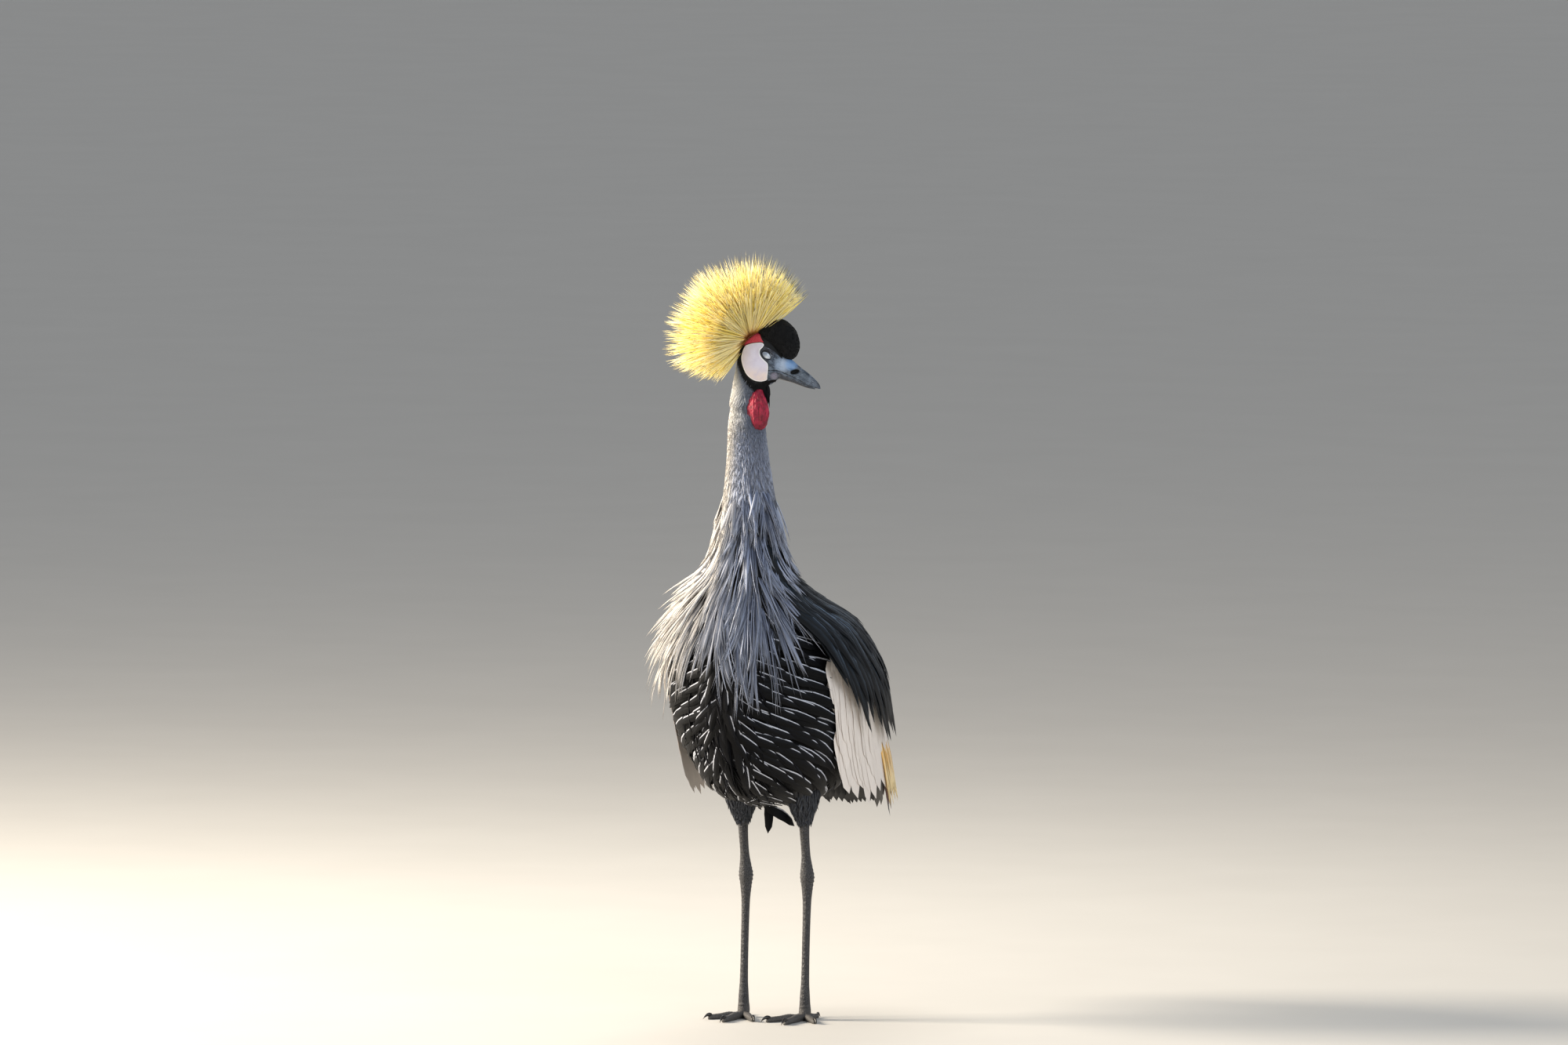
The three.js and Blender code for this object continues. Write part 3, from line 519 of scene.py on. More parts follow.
# %% [markdown]
# Bare skin on a crane's head is small but names the bird: a white cheek patch, a red patch above
# it, grey-blue lores, and black velvet between them. Their outlines are drawn from the side as a
# few points each. The distance from a point of the skin to such an outline is stored on the mesh
# as an attribute, because a distance stays sharp between vertices where a painted colour would
# blur.

# %% Outlines on the side of the head
CHEEK = [
    (-36, -4), (-34.5, 4), (-30.5, 12.5), (-24, 15.8), (-16, 17.4), (-6.5, 17.8), (-3.3, 14.6),
    (-5.2, 10.6), (-8.6, 7), (-9, 2.2), (-6.6, -3), (-2.2, -7.6), (1.6, -11.4), (2.8, -16),
    (2.4, -24), (1.6, -31), (0.6, -36.2), (-5, -38.3), (-10, -38.6), (-17.5, -37), (-24, -33),
    (-29.5, -27), (-33.5, -18), (-35.6, -10),
]
RED = [
    (-31, 12.8), (-30, 18.2), (-22.5, 24.8), (-15.8, 29.6), (-10.6, 31.6), (-7.2, 23.2),
    (-4.2, 18.4), (-6.5, 17.8), (-16, 17.4), (-24, 15.8),
]
LORES = [
    (-2.5, 12.4), (3.2, 10.2), (8, 7), (13, 3.4), (18, -1.6), (23, -6), (30, -8), (40, -6),
    (40, -40), (24, -37.4), (16, -36.4), (8, -36.6), (1.8, -36.6), (2.6, -24), (3, -16), (1.6, -11),
    (-2.2, -7.2), (-6.6, -2.8), (-9, 2.2), (-8.4, 7), (-5.2, 10.6),
]
BARE_NAPE = [
    (-62, -30), (-52, -8), (-44, 10), (-34, 26), (-20, 40), (-5, 50), (60, 50), (60, -40),
    (18, -39), (8, -42), (6, -52), (0, -60), (-7, -58), (-16, -50), (-24, -42), (-31, -33),
    (-36, -22), (-39.6, -10), (-40.2, -2), (-44, -10),
]


def softened(outline, per_side=6):
    """The outline with rounded corners, as a closed smooth curve through its points."""
    p = np.array(outline, float)
    before, after, beyond = np.roll(p, 1, 0), np.roll(p, -1, 0), np.roll(p, -2, 0)
    t = np.linspace(0, 1, per_side, endpoint=False)[None, :, None]
    a, b, c, d = (q[:, None] for q in (before, p, after, beyond))
    curve = b + t * (c - a) / 2 + t**2 * (a - 2.5 * b + 2 * c - d / 2)
    curve = curve + t**3 * (-a / 2 + 1.5 * b - 1.5 * c + d / 2)
    return curve.reshape(-1, 2)


def depth_in(outline, points):
    """Distance of points in the plane from a closed curve, positive inside it."""
    a, b = outline, np.roll(outline, -1, 0)
    best = np.full(len(points), 1e9)
    inside = np.zeros(len(points), bool)
    for (ax, ay), (bx, by) in zip(a, b):
        along = np.array([bx - ax, by - ay])
        reach = points - (ax, ay)
        t = np.clip(reach @ along / (along @ along), 0, 1)
        best = np.minimum(best, np.hypot(*(reach - t[:, None] * along).T))
        crosses = (ay > points[:, 1]) != (by > points[:, 1])
        at = ax + (points[:, 1] - ay) / np.where(by == ay, 1e-9, by - ay) * (bx - ax)
        inside ^= crosses & (points[:, 0] < at)
    return np.where(inside, best, -best)


def store(mesh, name, values):
    kind = "FLOAT" if values.ndim == 1 else "FLOAT_COLOR"
    layer = mesh.attributes.new(name, kind, "POINT")
    if values.ndim == 1:
        layer.data.foreach_set("value", values.astype(np.float32))
    else:
        four = np.concatenate([values, np.ones((len(values), 1))], 1)
        layer.data.foreach_set("color", four.astype(np.float32).ravel())


print("cheek outline points:", len(softened(CHEEK)))

# %% [markdown]
# One skin covers the body, neck and head, so no seam shows between them. Up to the nape its rings
# are level slices of the drape, a few millimetres inside it to leave room for the feathers. From
# there the rings tip forwards one after another, pivoting about the throat, until the last one
# stands upright round the base of the bill. The thighs are two short lofts that leave the belly.

# %% The skin's rings
AROUND = 160
NAPE_HEIGHT = EYE_LINE[2] - 62
COAT_DEPTH = [(300, 5), (600, 5), (760, 5), (860, 4), (900, 3), (913, 2.6)]
HEAD_RINGS = [
    # share of the way, front x and z, back x and z, half width
    (0.00, -8.2, -62, -49.6, -62, 18.2),
    (0.10, -4.4, -54.4, -47.6, -47, 18.2),
    (0.20, -0.6, -48.6, -45.4, -33, 18.6),
    (0.30, 2.8, -44.2, -42.8, -19, 19.4),
    (0.40, 5.8, -41.6, -40.8, -6, 20.4),
    (0.50, 8.4, -40.2, -37.6, 8, 21.2),
    (0.60, 10.6, -39.4, -31.4, 21.0, 21.7),
    (0.70, 12.6, -38.8, -19.6, 29.6, 21.6),
    (0.80, 14.2, -38.3, -5.0, 31.4, 20.3),
    (0.88, 15.0, -37.9, 5.0, 26.6, 17.6),
    (0.94, 17.0, -36.6, 14.0, 16.0, 14.6),
    (1.00, 25.0, -33.6, 25.6, -4.5, 9.4),
]
THIGH = [
    # height, offset forward, half width, half depth
    (287, -3, 8.5, 9.5),
    (296, -4, 11.5, 13.5),
    (308, -6, 15, 20),
    (325, -9, 20, 29),
    (345, -12, 24, 37),
    (372, -14, 26, 42),
]
FEET_APART, FEET_Y = 96.0, 8.0


def level_rings(rows, heights, x, count):
    c, s = superellipse(count)
    rings = []
    for height in heights:
        _, forward, width, depth = between(rows, height)
        ring = np.stack([x + width * c, FEET_Y + forward + depth * s, height + 0 * c], -1)
        rings.append(ring)
    return np.array(rings)


def body_rings():
    turn = 90 + math.degrees(HEAD_SWING) + np.arange(AROUND) * 360 / AROUND
    heights = np.concatenate([[321, 323, 326.5, 331], np.linspace(337, NAPE_HEIGHT, 120)])
    rings = []
    for height in heights:
        depth = np.interp(height, *np.transpose(COAT_DEPTH))
        here = np.full(AROUND, height)
        rings.append(drape(turn, here, np.full(AROUND, -depth), hang=0))
    return np.array(rings)


def head_ring(share):
    """A ring round the head, from its front past its left side."""
    _, x0, z0, x1, z1, half = between(HEAD_RINGS, share)
    c, s = superellipse(AROUND, 2.12 + 0.5 * smooth(share, 0.78, 0.98))
    ahead = (x0 + x1) / 2 + (x0 - x1) / 2 * c
    up = (z0 + z1) / 2 + (z0 - z1) / 2 * c
    return from_head(np.stack([ahead, half * s, up], -1))


skin_mesh = bmesh.new()
head_rings = np.array([head_ring(share) for share in np.linspace(0.04, 1, 96)])
loft(skin_mesh, np.concatenate([body_rings(), head_rings]))
for side in (-1, 1):
    loft(skin_mesh, level_rings(THIGH, np.linspace(287, 372, 18), side * FEET_APART / 2, 48))
print("skin vertices:", len(skin_mesh.verts))

# %% [markdown]
# The plain loft is then shaped like clay, by moving its vertices along their normals: the cheek
# patch is a low cushion with a crisp edge, the eye lies in a shallow socket under a brow, and the
# mouth runs back from the bill as a fine groove. Numbers on the vertices, not more pieces, keep
# all of this one skin.

# %% Shape the face and store its outlines
EYE_OUT = 16.4
EYE_HALF = np.array([8.4, 6.2, 6.1])
EYE_TILT = math.radians(38)
OPENING = (7.1, 4.6)  # half the long and the short axis of the opening for the eye
GAPE_LINE = [(-1, -23.4), (4.6, -22.3), (14, -22.5), (20.5, -24.9)]


def eye_reach(ahead, up):
    """How far out a point of the face is from the eye's middle, as a share of the opening."""
    c, s = math.cos(EYE_TILT), math.sin(EYE_TILT)
    long, short = ahead * c - up * s, ahead * s + up * c
    return np.hypot(long / OPENING[0], short / OPENING[1])


def line_distance(line, points):
    best = np.full(len(points), 1e9)
    for a, b in zip(np.array(line[:-1], float), np.array(line[1:], float)):
        t = np.clip((points - a) @ (b - a) / ((b - a) @ (b - a)), 0, 1)
        best = np.minimum(best, np.hypot(*(points - a - t[:, None] * (b - a)).T))
    return best


def shape_face(mesh):
    points = points_of(mesh)
    face = in_head(points)
    side_on = face[:, [0, 2]]
    near = (face[:, 2] > -75) & (np.abs(face[:, 1]) > 3)
    depths = {}
    for name, outline in {"cheek": CHEEK, "red": RED, "lores": LORES, "velvet": BARE_NAPE}.items():
        depth = np.full(len(points), -60.0)
        depth[near] = depth_in(softened(outline), side_on[near])
        depths[name] = depth
        store(mesh, name, depth)
    out = np.where(near, smooth(np.abs(face[:, 1]), 4, 11), 0)
    cheek = depths["cheek"]
    cushion = 1.1 * smooth(cheek, -0.2, 1.0) + 1.0 * smooth(cheek, 0, 14)
    rim = 0.35 * np.exp(-(((cheek - 1.2) / 0.8) ** 2))
    red = 0.5 * smooth(depths["red"], 0, 1.0)
    reach = eye_reach(side_on[:, 0], side_on[:, 1])
    brow = 1.1 * np.exp(-(((reach - 1.75) / 0.35) ** 2)) * smooth(side_on[:, 1], -3, 5)
    socket = -4.5 * smooth(-reach, -1.25, -0.85)
    hollow = -1.3 * np.exp(-(((side_on[:, 0] - 9) / 5) ** 2) - ((side_on[:, 1] + 8) / 7) ** 2)
    groove = -0.9 * np.exp(-((line_distance(GAPE_LINE, side_on) / 0.7) ** 2))
    lip = 0.45 * np.exp(-(((line_distance(GAPE_LINE, side_on) - 2.0) / 1.0) ** 2))
    lip = lip * smooth(side_on[:, 0], 1, 5)
    raised = (cushion + rim + red + brow + socket + hollow + groove + lip) * out
    move_points(mesh, points + normals_of(mesh) * raised[:, None])
    store(mesh, "mouth", line_distance(GAPE_LINE, side_on))
    return depths


print("half axes of the eye's opening, mm:", OPENING)

# %% [markdown]
# The finish of the skin is read from the outlines that were stored on it. Each colour is laid over
# the one before, inside its own outline: grey or black down, blue-grey lores, the dark crease of
# the mouth, the crimson patch, and last the cheek with its thin black edge. The lores and the bill
# share one blue-grey, so it is a helper of its own.

# %% The skin's finish


def zone(ahead, up, x, z, size):
    """A soft round patch on the side of the face, from its middle and size."""
    across, above = ahead - x, up - z
    return (across * across + above * above).ramp(size * size, 0)


def slate(made, ahead, up):
    """The blue-grey of the lores and the bill: one colour for both, so that they run together."""
    place = made.place()
    cloud = made.noise(place, 0.16, 3.0)
    along = made.combine(ahead * 0.13, 0.0, (up + ahead * 0.5) * 0.8)
    streak = made.noise(along, 1.0, 5.0, 0.65)
    fine = made.noise(place, 1.3, 4.0)
    colour = made.mix(cloud.ramp(0.35, 0.68), rgb(0x2E3641), rgb(0x64707E))
    # Painted highlights: a pale patch and a sky-blue patch near the bill's base stand for reflected
    # light.
    colour = made.mix(zone(ahead, up, 23, -15, 14) * 0.8, colour, rgb(0xA9B9CE))
    colour = made.mix(zone(ahead, up, 36, -14, 12) * 0.75, colour, rgb(0x6E9ACC))
    colour = made.mix(zone(ahead, up, 55, -31, 10) * 0.7, colour, rgb(0x182A38))
    colour = made.mix((up * 0.6 - ahead + 12).ramp(-3, 8, 0, 0.9), colour, rgb(0x302E33))
    below = (up + ahead * 0.52 + 13).ramp(0.0, -5.0) * ahead.ramp(6, 20)
    colour = made.mix(below * 0.7, colour, rgb(0x2A282E))
    colour = made.mix(zone(ahead, up, 11, -31, 7) * 0.8, colour, rgb(0x8F8998))
    colour = made.mix(ahead.ramp(54, 78, 0, 0.65), colour, rgb(0x2D333D))
    colour = made.mix(streak.ramp(0.52, 0.7, 0, 0.5), colour, rgb(0xA6B2C2))
    colour = made.mix(streak.ramp(0.45, 0.3, 0, 0.6), colour, rgb(0x20242A))
    return made.shade(colour, fine * 0.5 + 0.75), streak


def skin_finish():
    bare = Finish("crane_skin", roughness=0.62, specular_ior_level=0.35)
    ahead, _, up = bare.split(bare.head_place())
    place = bare.place()
    fine = bare.noise(place, 1.6, 4.0)
    broad = bare.noise(place, 0.09, 3.0)
    _, _, height = bare.split(place)
    down = bare.mix(height.ramp(560, 640), rgb(0x101114), rgb(0x2C3038))
    down = bare.mix(height.ramp(800, 905), down, rgb(0x8C8D92))
    down = bare.shade(down, fine * 0.5 + 0.7)
    black = bare.shade(rgb(0x0B0B0C), fine + 0.5)
    colour = bare.mix(bare.number("velvet").ramp(-0.8, 0.8), down, black)
    lores, streak = slate(bare, ahead, up)
    colour = bare.mix(bare.number("lores").ramp(-0.4, 0.5), colour, lores)
    crease = bare.number("mouth").ramp(0.9, 0.2)
    colour = bare.mix(crease * bare.number("lores").ramp(-1.0, 0.5), colour, rgb(0x141518))
    crimson = bare.mix(fine.ramp(0.35, 0.7), rgb(0xB92637), rgb(0xE0606A))
    colour = bare.mix(bare.number("red").ramp(-0.3, 0.4), colour, crimson)
    lilac = bare.mix(up.ramp(-12, -36), rgb(0xE0DAE8), rgb(0xF2DED0))
    lilac = bare.mix(broad.ramp(0.4, 0.7, 0, 0.5), lilac, rgb(0xD2CADA))
    cheek = bare.number("cheek")
    lilac = bare.mix(cheek.ramp(2.2, 1.0), lilac, rgb(0xFAF8F6))
    lilac = bare.mix(bare.cells(place, 0.9).ramp(0.0, 0.5, 0.25, 0.0), lilac, rgb(0xC9BFCE))
    colour = bare.mix(cheek.ramp(0.0, 0.55), colour, lilac)
    outline = (cheek.size() - 0.1).ramp(1.0, 0.3)
    colour = bare.mix(outline * cheek.ramp(0.5, 0.0), colour, rgb(0x101012))
    pebbled = bare.noise(place, 2.4, 3.0) + bare.cells(place, 1.3) * 0.5 + streak * 0.5
    bare.bump(pebbled, 0.0006, 0.55)
    wet = cheek.ramp(0.0, 0.6, 0.6, 0.42)
    return bare.show(base_color=colour, roughness=wet)


skin = piece(
    "skin", skin_mesh, skin_finish(),
    "head", "neck_upper", "neck_lower", "torso", "thigh_left", "thigh_right",
)
depths = shape_face(skin.data)
for name, depth in depths.items():
    print(name, "covers", int(np.sum(depth > 0)), "vertices of the skin")

# %% [markdown]
# The bill is two long half-rounds that meet along the mouth. Each is a loft whose ring is flat on
# the mouth line and rounded outside. A nostril is carved by pushing vertices inwards under a
# slanting oval, at the front end of a shallow nasal groove. The horn is slate with a darker tip,
# and its fine growth lines run along it.

# %% The two halves of the bill
BILL_UPPER = [
    # place, mouth line, culmen and half width
    (9, -22.3, 11, 12.0),
    (17, -23.1, 7.8, 12.9),
    (27, -27.4, -1.2, 11.5),
    (38, -32.2, -8.8, 9.7),
    (45, -35.7, -15.0, 8.5),
    (52, -40, -21.0, 7.3),
    (58, -43.7, -25.4, 6.3),
    (64, -46.7, -30.4, 5.2),
    (70, -48.8, -36.1, 4.1),
    (74, -49.8, -40.4, 3.1),
    (77, -50.3, -44.8, 1.9),
    (78.2, -50.2, -48.0, 0.7),
]
BILL_LOWER = [
    # place, underside, mouth line and half width
    (9, -34.6, -22.9, 11.6),
    (17, -35.9, -23.7, 12.3),
    (27, -38.5, -28.0, 10.8),
    (38, -41.6, -32.9, 9.0),
    (45, -44.3, -36.4, 7.8),
    (52, -46.8, -40.7, 6.6),
    (58, -48.7, -44.4, 5.6),
    (64, -50.3, -47.4, 4.4),
    (68, -50.9, -48.9, 3.2),
    (70.5, -51.0, -49.9, 1.8),
]
NOSTRIL = (41.4, -24.9)
BILL_AROUND = 72


def half_round(flat, deep, width):
    """A closed ring: over the outside from one edge of the mouth to the other, then back."""
    outer = np.linspace(0, math.pi, BILL_AROUND * 3 // 4)
    inner = np.linspace(math.pi, 0, BILL_AROUND // 4 + 2)[1:-1]
    y = np.concatenate([width * np.cos(outer), 0.93 * width * np.cos(inner)])
    z = np.concatenate([deep * np.sin(outer) ** 0.85, 0.05 * deep * np.sin(inner)])
    return y, flat + z


def mandible(rows, places, upper):
    rings = []
    for place in places:
        _, low, high, width = between(rows, place)
        flat, deep = (low, high - low) if upper else (high, low - high)
        y, z = half_round(flat, deep, width)
        rings.append(from_head(np.stack([place + 0 * y, y, z], -1)))
    return np.array(rings)


def carve_nostrils(mesh):
    points = points_of(mesh)
    ahead, left, up = in_head(points).T
    c, s = math.cos(math.radians(9)), math.sin(math.radians(9))
    long = (ahead - NOSTRIL[0]) * c + (up - NOSTRIL[1]) * s
    short = -(ahead - NOSTRIL[0]) * s + (up - NOSTRIL[1]) * c
    slant = short - 0.5 * np.sin(long / 3.5)
    reach = np.hypot(long / 6.6, slant / 3.1)
    hole = 4.2 * smooth(-reach, -1.12, -0.6)
    groove = 1.0 * np.exp(-(((long + 5) / 14) ** 2) - ((short - 0.4 + 0.1 * long) / 3.8) ** 2)
    edge = 0.4 * np.exp(-(((reach - 1.3) / 0.2) ** 2))
    lip = 0.3 * np.exp(-(((np.interp(ahead, *np.transpose(MOUTH_EDGE)) + 1.3 - up) / 0.9) ** 2))
    inwards = (hole + groove - edge - lip) * smooth(np.abs(left), 1.5, 4)
    move_points(mesh, points - normals_of(mesh) * inwards[:, None])
    store(mesh, "nostril", reach)


MOUTH_EDGE = [(row[0], row[1]) for row in BILL_UPPER]


def bill_finish():
    horn = Finish("bill_horn", roughness=0.4, coat_weight=0.1, coat_roughness=0.3)
    ahead, _, up = horn.split(horn.head_place())
    colour, streak = slate(horn, ahead, up)
    nostril = horn.number("nostril")
    # Painted shade: the carved nostril is darkened round its rim and painted near black inside.
    colour = horn.mix(nostril.ramp(1.6, 1.1, 0, 0.5), colour, rgb(0x1A1D24))
    colour = horn.mix(nostril.ramp(1.12, 0.95), colour, rgb(0x030304))
    horn.bump(streak + horn.noise(horn.place(), 2.2, 3.0) * 0.4, 0.0004, 0.6)
    matt = nostril.ramp(1.12, 0.95) * 0.6
    return horn.show(base_color=colour, roughness=streak * 0.3 + 0.28 + matt)


horn_material = bill_finish()
tips = 1 - (1 - np.linspace(0, 1, 74)) ** 1.25
for name, rows, upper in (("bill_top", BILL_UPPER, True), ("bill_bottom", BILL_LOWER, False)):
    horn_mesh = bmesh.new()
    loft(horn_mesh, mandible(rows, rows[0][0] + (rows[-1][0] - rows[0][0]) * tips, upper))
    made = piece(name, horn_mesh, horn_material, "bill_upper" if upper else "bill_lower")
    if upper:
        carve_nostrils(made.data)
    else:
        store(made.data, "nostril", np.full(len(made.data.vertices), 9.0))
print("the bill ends", BILL_UPPER[-1][0], "mm ahead of the eyes")

# %% [markdown]
# In the photo the third eyelid is drawn over the eye, so the ball looks like a pearl without a
# pupil. The ball starts as a sphere from bmesh, stretched and tilted down towards the bill. The
# lids are a rim swept round the opening, almond-shaped, nearly black and finely wrinkled.

# %% Eyes and their lids
LID_OUT = 21.0
LID_HALF = np.array([7.0, 4.5])


def tilted(long, short):
    """Points on the side of the head, from the eye's own long and short axes."""
    c, s = math.cos(EYE_TILT), math.sin(EYE_TILT)
    return long * c + short * s, -long * s + short * c


def eye_ball(side):
    bm = bmesh.new()
    bmesh.ops.create_uvsphere(bm, u_segments=48, v_segments=32, radius=1.0)
    for v in bm.verts:
        ahead, up = tilted(v.co.x * EYE_HALF[0], v.co.y * EYE_HALF[2])
        bulge = v.co.z * EYE_HALF[1]
        v.co = metres(from_head(np.array([ahead, side * (EYE_OUT + bulge), up])))
    return bm


def lid_rings(side, around=96, round_rim=14):
    """The lids as a closed sweep: every ring of it is one section of the rim."""
    turn = np.linspace(0, 2 * np.pi, around, endpoint=False)
    almond = 1 + 0.10 * np.cos(2 * turn) + 0.05 * np.cos(turn)
    long, short = LID_HALF[0] * almond * np.cos(turn), LID_HALF[1] * np.sin(turn) / almond**0.5
    thick = 0.72 + 0.3 * np.cos(turn - 2.4)
    rings = []
    for k in range(around):
        ring = []
        for r in range(round_rim):
            a = 2 * np.pi * r / round_rim
            out = 1 + thick[k] * math.cos(a) / math.hypot(long[k], short[k])
            ahead, up = tilted(long[k] * out, short[k] * out)
            level = LID_OUT + 0.85 * thick[k] * math.sin(a)
            level -= 0.05 * (ahead - 2) ** 2 * 0.35 + 0.012 * up**2
            ring.append(from_head(np.array([ahead, side * level, up])))
        rings.append(ring)
    return np.array(rings)


def closed_sweep(bm, rings):
    rows = loft(bm, rings, ends=(False, False))
    edges = []
    for ring in (rows[0], rows[-1]):
        edges += [bm.edges.get((ring[k - 1], ring[k])) for k in range(len(ring))]
    bmesh.ops.bridge_loops(bm, edges=edges)


def eye_finish():
    pearl = Finish("eye_pearl", roughness=0.16, coat_weight=0.6, coat_roughness=0.05)
    ahead, _, up = pearl.split(pearl.head_place())
    veil = pearl.noise(pearl.combine(ahead * 0.5, 0.0, up * 0.12), 1.2, 3.0)
    colour = pearl.mix(veil.ramp(0.35, 0.7), rgb(0xA9B4C2), rgb(0xE8EEF3))
    # Painted shade and highlight: the pearl darkens towards its upper back and brightens towards
    # its lower front.
    colour = pearl.mix((ahead * 0.6 - up).ramp(-3.5, 4.5), rgb(0x8A95A6), colour)
    pearl.bump(veil, 0.0002, 0.4)
    return pearl.show(base_color=colour)


def lid_finish():
    rim = Finish("eyelid", roughness=0.5)
    fine = rim.noise(rim.place(), 1.8, 4.0)
    rim.bump(fine, 0.0004, 0.6)
    return rim.show(base_color=rim.mix(fine.ramp(0.4, 0.75), rgb(0x08080A), rgb(0x232327)))


pearl_material, lid_material = eye_finish(), lid_finish()
for side, name in ((-1, "right"), (1, "left")):
    piece("eye_pearl_" + name, eye_ball(side), pearl_material, "eye_" + name)
    rim_mesh = bmesh.new()
    closed_sweep(rim_mesh, lid_rings(side))
    piece("eyelids_" + name, rim_mesh, lid_material)
print("each eye is", EYE_HALF[[0, 2]] * 2, "mm long and high")

# %% [markdown]
# The velvet cushion on the forehead is a loft as well. Its rings stand upright across the head,
# and they lie closer together towards both ends, where the form turns quickly.

# %% Cushion of the forehead
CUSHION = [
    # place, underside, top and half width
    (-11.8, 31, 34.4, 4.5),
    (-6, 19, 40, 12.6),
    (4, 9.4, 46.6, 17),
    (12, 3.8, 49.8, 18.4),
    (20, -2.6, 50.6, 18.9),
    (28, -7.4, 48.2, 18.4),
    (36, -7.6, 41.6, 16.4),
    (43, -2.8, 33, 12.4),
    (46.6, 4.6, 22.6, 7.6),
    (48, 10, 16, 2.4),
]


def cushion_rings():
    start, end = CUSHION[0][0], CUSHION[-1][0]
    places = start + (end - start) * (1 - np.cos(np.linspace(0.12, np.pi - 0.1, 56))) / 2
    c, s = superellipse(72)
    rings = []
    for place in places:
        _, low, high, half = between(CUSHION, place)
        y, z = half * c, (low + high) / 2 + (high - low) / 2 * s
        rings.append(from_head(np.stack([place + 0 * y, y, z], -1)))
    return np.array(rings)


def velvet_finish():
    velvet = Finish("velvet", roughness=0.95, sheen_weight=0.25, sheen_roughness=0.4)
    fine = velvet.noise(velvet.place(), 1.1, 4.0)
    return velvet.show(base_color=velvet.mix(fine, rgb(0x070708), rgb(0x141417)))


velvet_material = velvet_finish()
cushion_mesh = bmesh.new()
loft(cushion_mesh, cushion_rings())
cushion = piece("forehead_cushion", cushion_mesh, velvet_material, "forehead")

# %% [markdown]
# The wattle hangs in two halves with pleats down them, and its skin is pebbled. Each half is a
# loft of level rings. A sum of a few waves makes the pleats, and noise from Blender's own noise
# function then moves the vertices, so the folds are there in the mesh.

# %% Wattle
WATTLE = [
    # height, back, front, half width and how far to the right
    (-109.5, -15, -9, 2.4, 14),
    (-106, -21.5, -2.5, 6.6, 14),
    (-92, -27, 2.5, 10, 13),
    (-78, -28, 3, 11, 12),
    (-64, -25.5, -1.0, 10, 9),
    (-50, -21.5, -6.5, 7.5, 5),
]
WATTLE_TOP, WATTLE_TIP = -50, -109.5
LOBE_APART = 7.0


def wattle_rings(side):
    c, s = superellipse(110)
    turn = np.linspace(0, 2 * np.pi, 110, endpoint=False)
    rings = []
    for height in np.linspace(WATTLE_TIP, WATTLE_TOP, 90):
        _, back, front, width, right = between(WATTLE, height)
        down = (WATTLE_TOP - height) / 60
        pleat = 1 - 0.055 * np.cos(8 * turn + 1.4 * down + side) * smooth(down, 0.02, 0.35)
        pleat -= 0.03 * np.cos(19 * turn - 5 * down)
        x = (back + front) / 2 + (front - back) / 2 * c * pleat
        y = width * s * pleat - right + side * LOBE_APART * width / 11.5
        rings.append(from_head(np.stack([x, y, height + 0 * x], -1)))
    return np.array(rings)


def wrinkle(mesh, depth, wave, stretch=(1, 1, 1)):
    """Moves vertices along their normals by noise of a given wavelength, in millimetres."""
    from mathutils import noise

    points = points_of(mesh)
    moved = [noise.fractal(Vector(p), 0.9, 2.1, 4) for p in points / wave / stretch]
    move_points(mesh, points + normals_of(mesh) * depth * np.array(moved)[:, None])


def wattle_finish():
    flesh = Finish("wattle_flesh", roughness=0.42, specular_ior_level=0.4)
    place = flesh.place()
    _, _, up = flesh.split(flesh.head_place())
    broad, fine = flesh.noise(place, 0.12, 3.0), flesh.noise(place, 1.1, 4.0)
    x, y, z = flesh.split(place)
    folds = flesh.noise(flesh.combine(x, y, z * 0.3), 0.34, 4.0, 0.6)
    pebbles = flesh.cells(place, 1.25)
    colour = flesh.mix(broad.ramp(0.35, 0.68), rgb(0x860E2C), rgb(0xB82040))
    # Painted shade: the colour is darkened along the folds.
    colour = flesh.mix(folds.ramp(0.54, 0.34, 0, 0.8), colour, rgb(0x560819))
    # Painted highlights: the tops of the pebbles are lighter.
    colour = flesh.mix(pebbles.ramp(0.5, 0.1, 0.0, 0.2), colour, rgb(0xD2486A))
    # Painted shade: the wattle darkens towards its lower end.
    colour = flesh.mix(up.ramp(-84, -106, 0, 0.5), colour, rgb(0x660B22))
    flesh.bump(fine * 0.5 - pebbles * 0.6 + folds * 1.2, 0.0008, 0.6)
    return flesh.show(base_color=colour, roughness=fine * 0.3 + 0.32)


wattle_mesh = bmesh.new()
for side in (-1, 1):
    loft(wattle_mesh, wattle_rings(side))
wattle = piece("wattle_lobes", wattle_mesh, wattle_finish(), "wattle")
wrinkle(wattle.data, 1.0, 4.0, (1, 1, 2.6))
print("the wattle hangs", WATTLE_TOP - WATTLE_TIP, "mm")

# %% [markdown]
# Every feather is first a line on the drape, from its root to its tip. It walks over the drape in
# short steps, closer at the root, where a feather leaves the skin. Or it is aimed: its root is
# moved until the tip arrives at a given place. Plumes that cling together are one line with
# several strands bunched round it.

# %% Lines on the drape


def jitter(draw, many, amount):
    return (draw.random(many) - 0.5) * 2 * amount


def walk(angle, height, heading, length, count, turn=0.0, hang=HANG, ease=1.3):
    """Places along lines on the drape, as shares with angles and heights."""
    a, z = np.array(angle, float), np.array(height, float)
    places = []
    for i in range(count + 1):
        share = (i / count) ** ease
        places.append((share, a, z))
        here = body_point(a, z, hang)
        per_degree = np.linalg.norm(body_point(a + 1, z, hang) - here, axis=-1)
        per_height = np.linalg.norm(body_point(a, z - 1, hang) - here, axis=-1)
        way = np.radians(heading + turn * share)
        step = (((i + 1) / count) ** ease - share) * length
        a = a + np.sin(way) * step / per_degree
        z = z - np.cos(way) * step / per_height
    return places


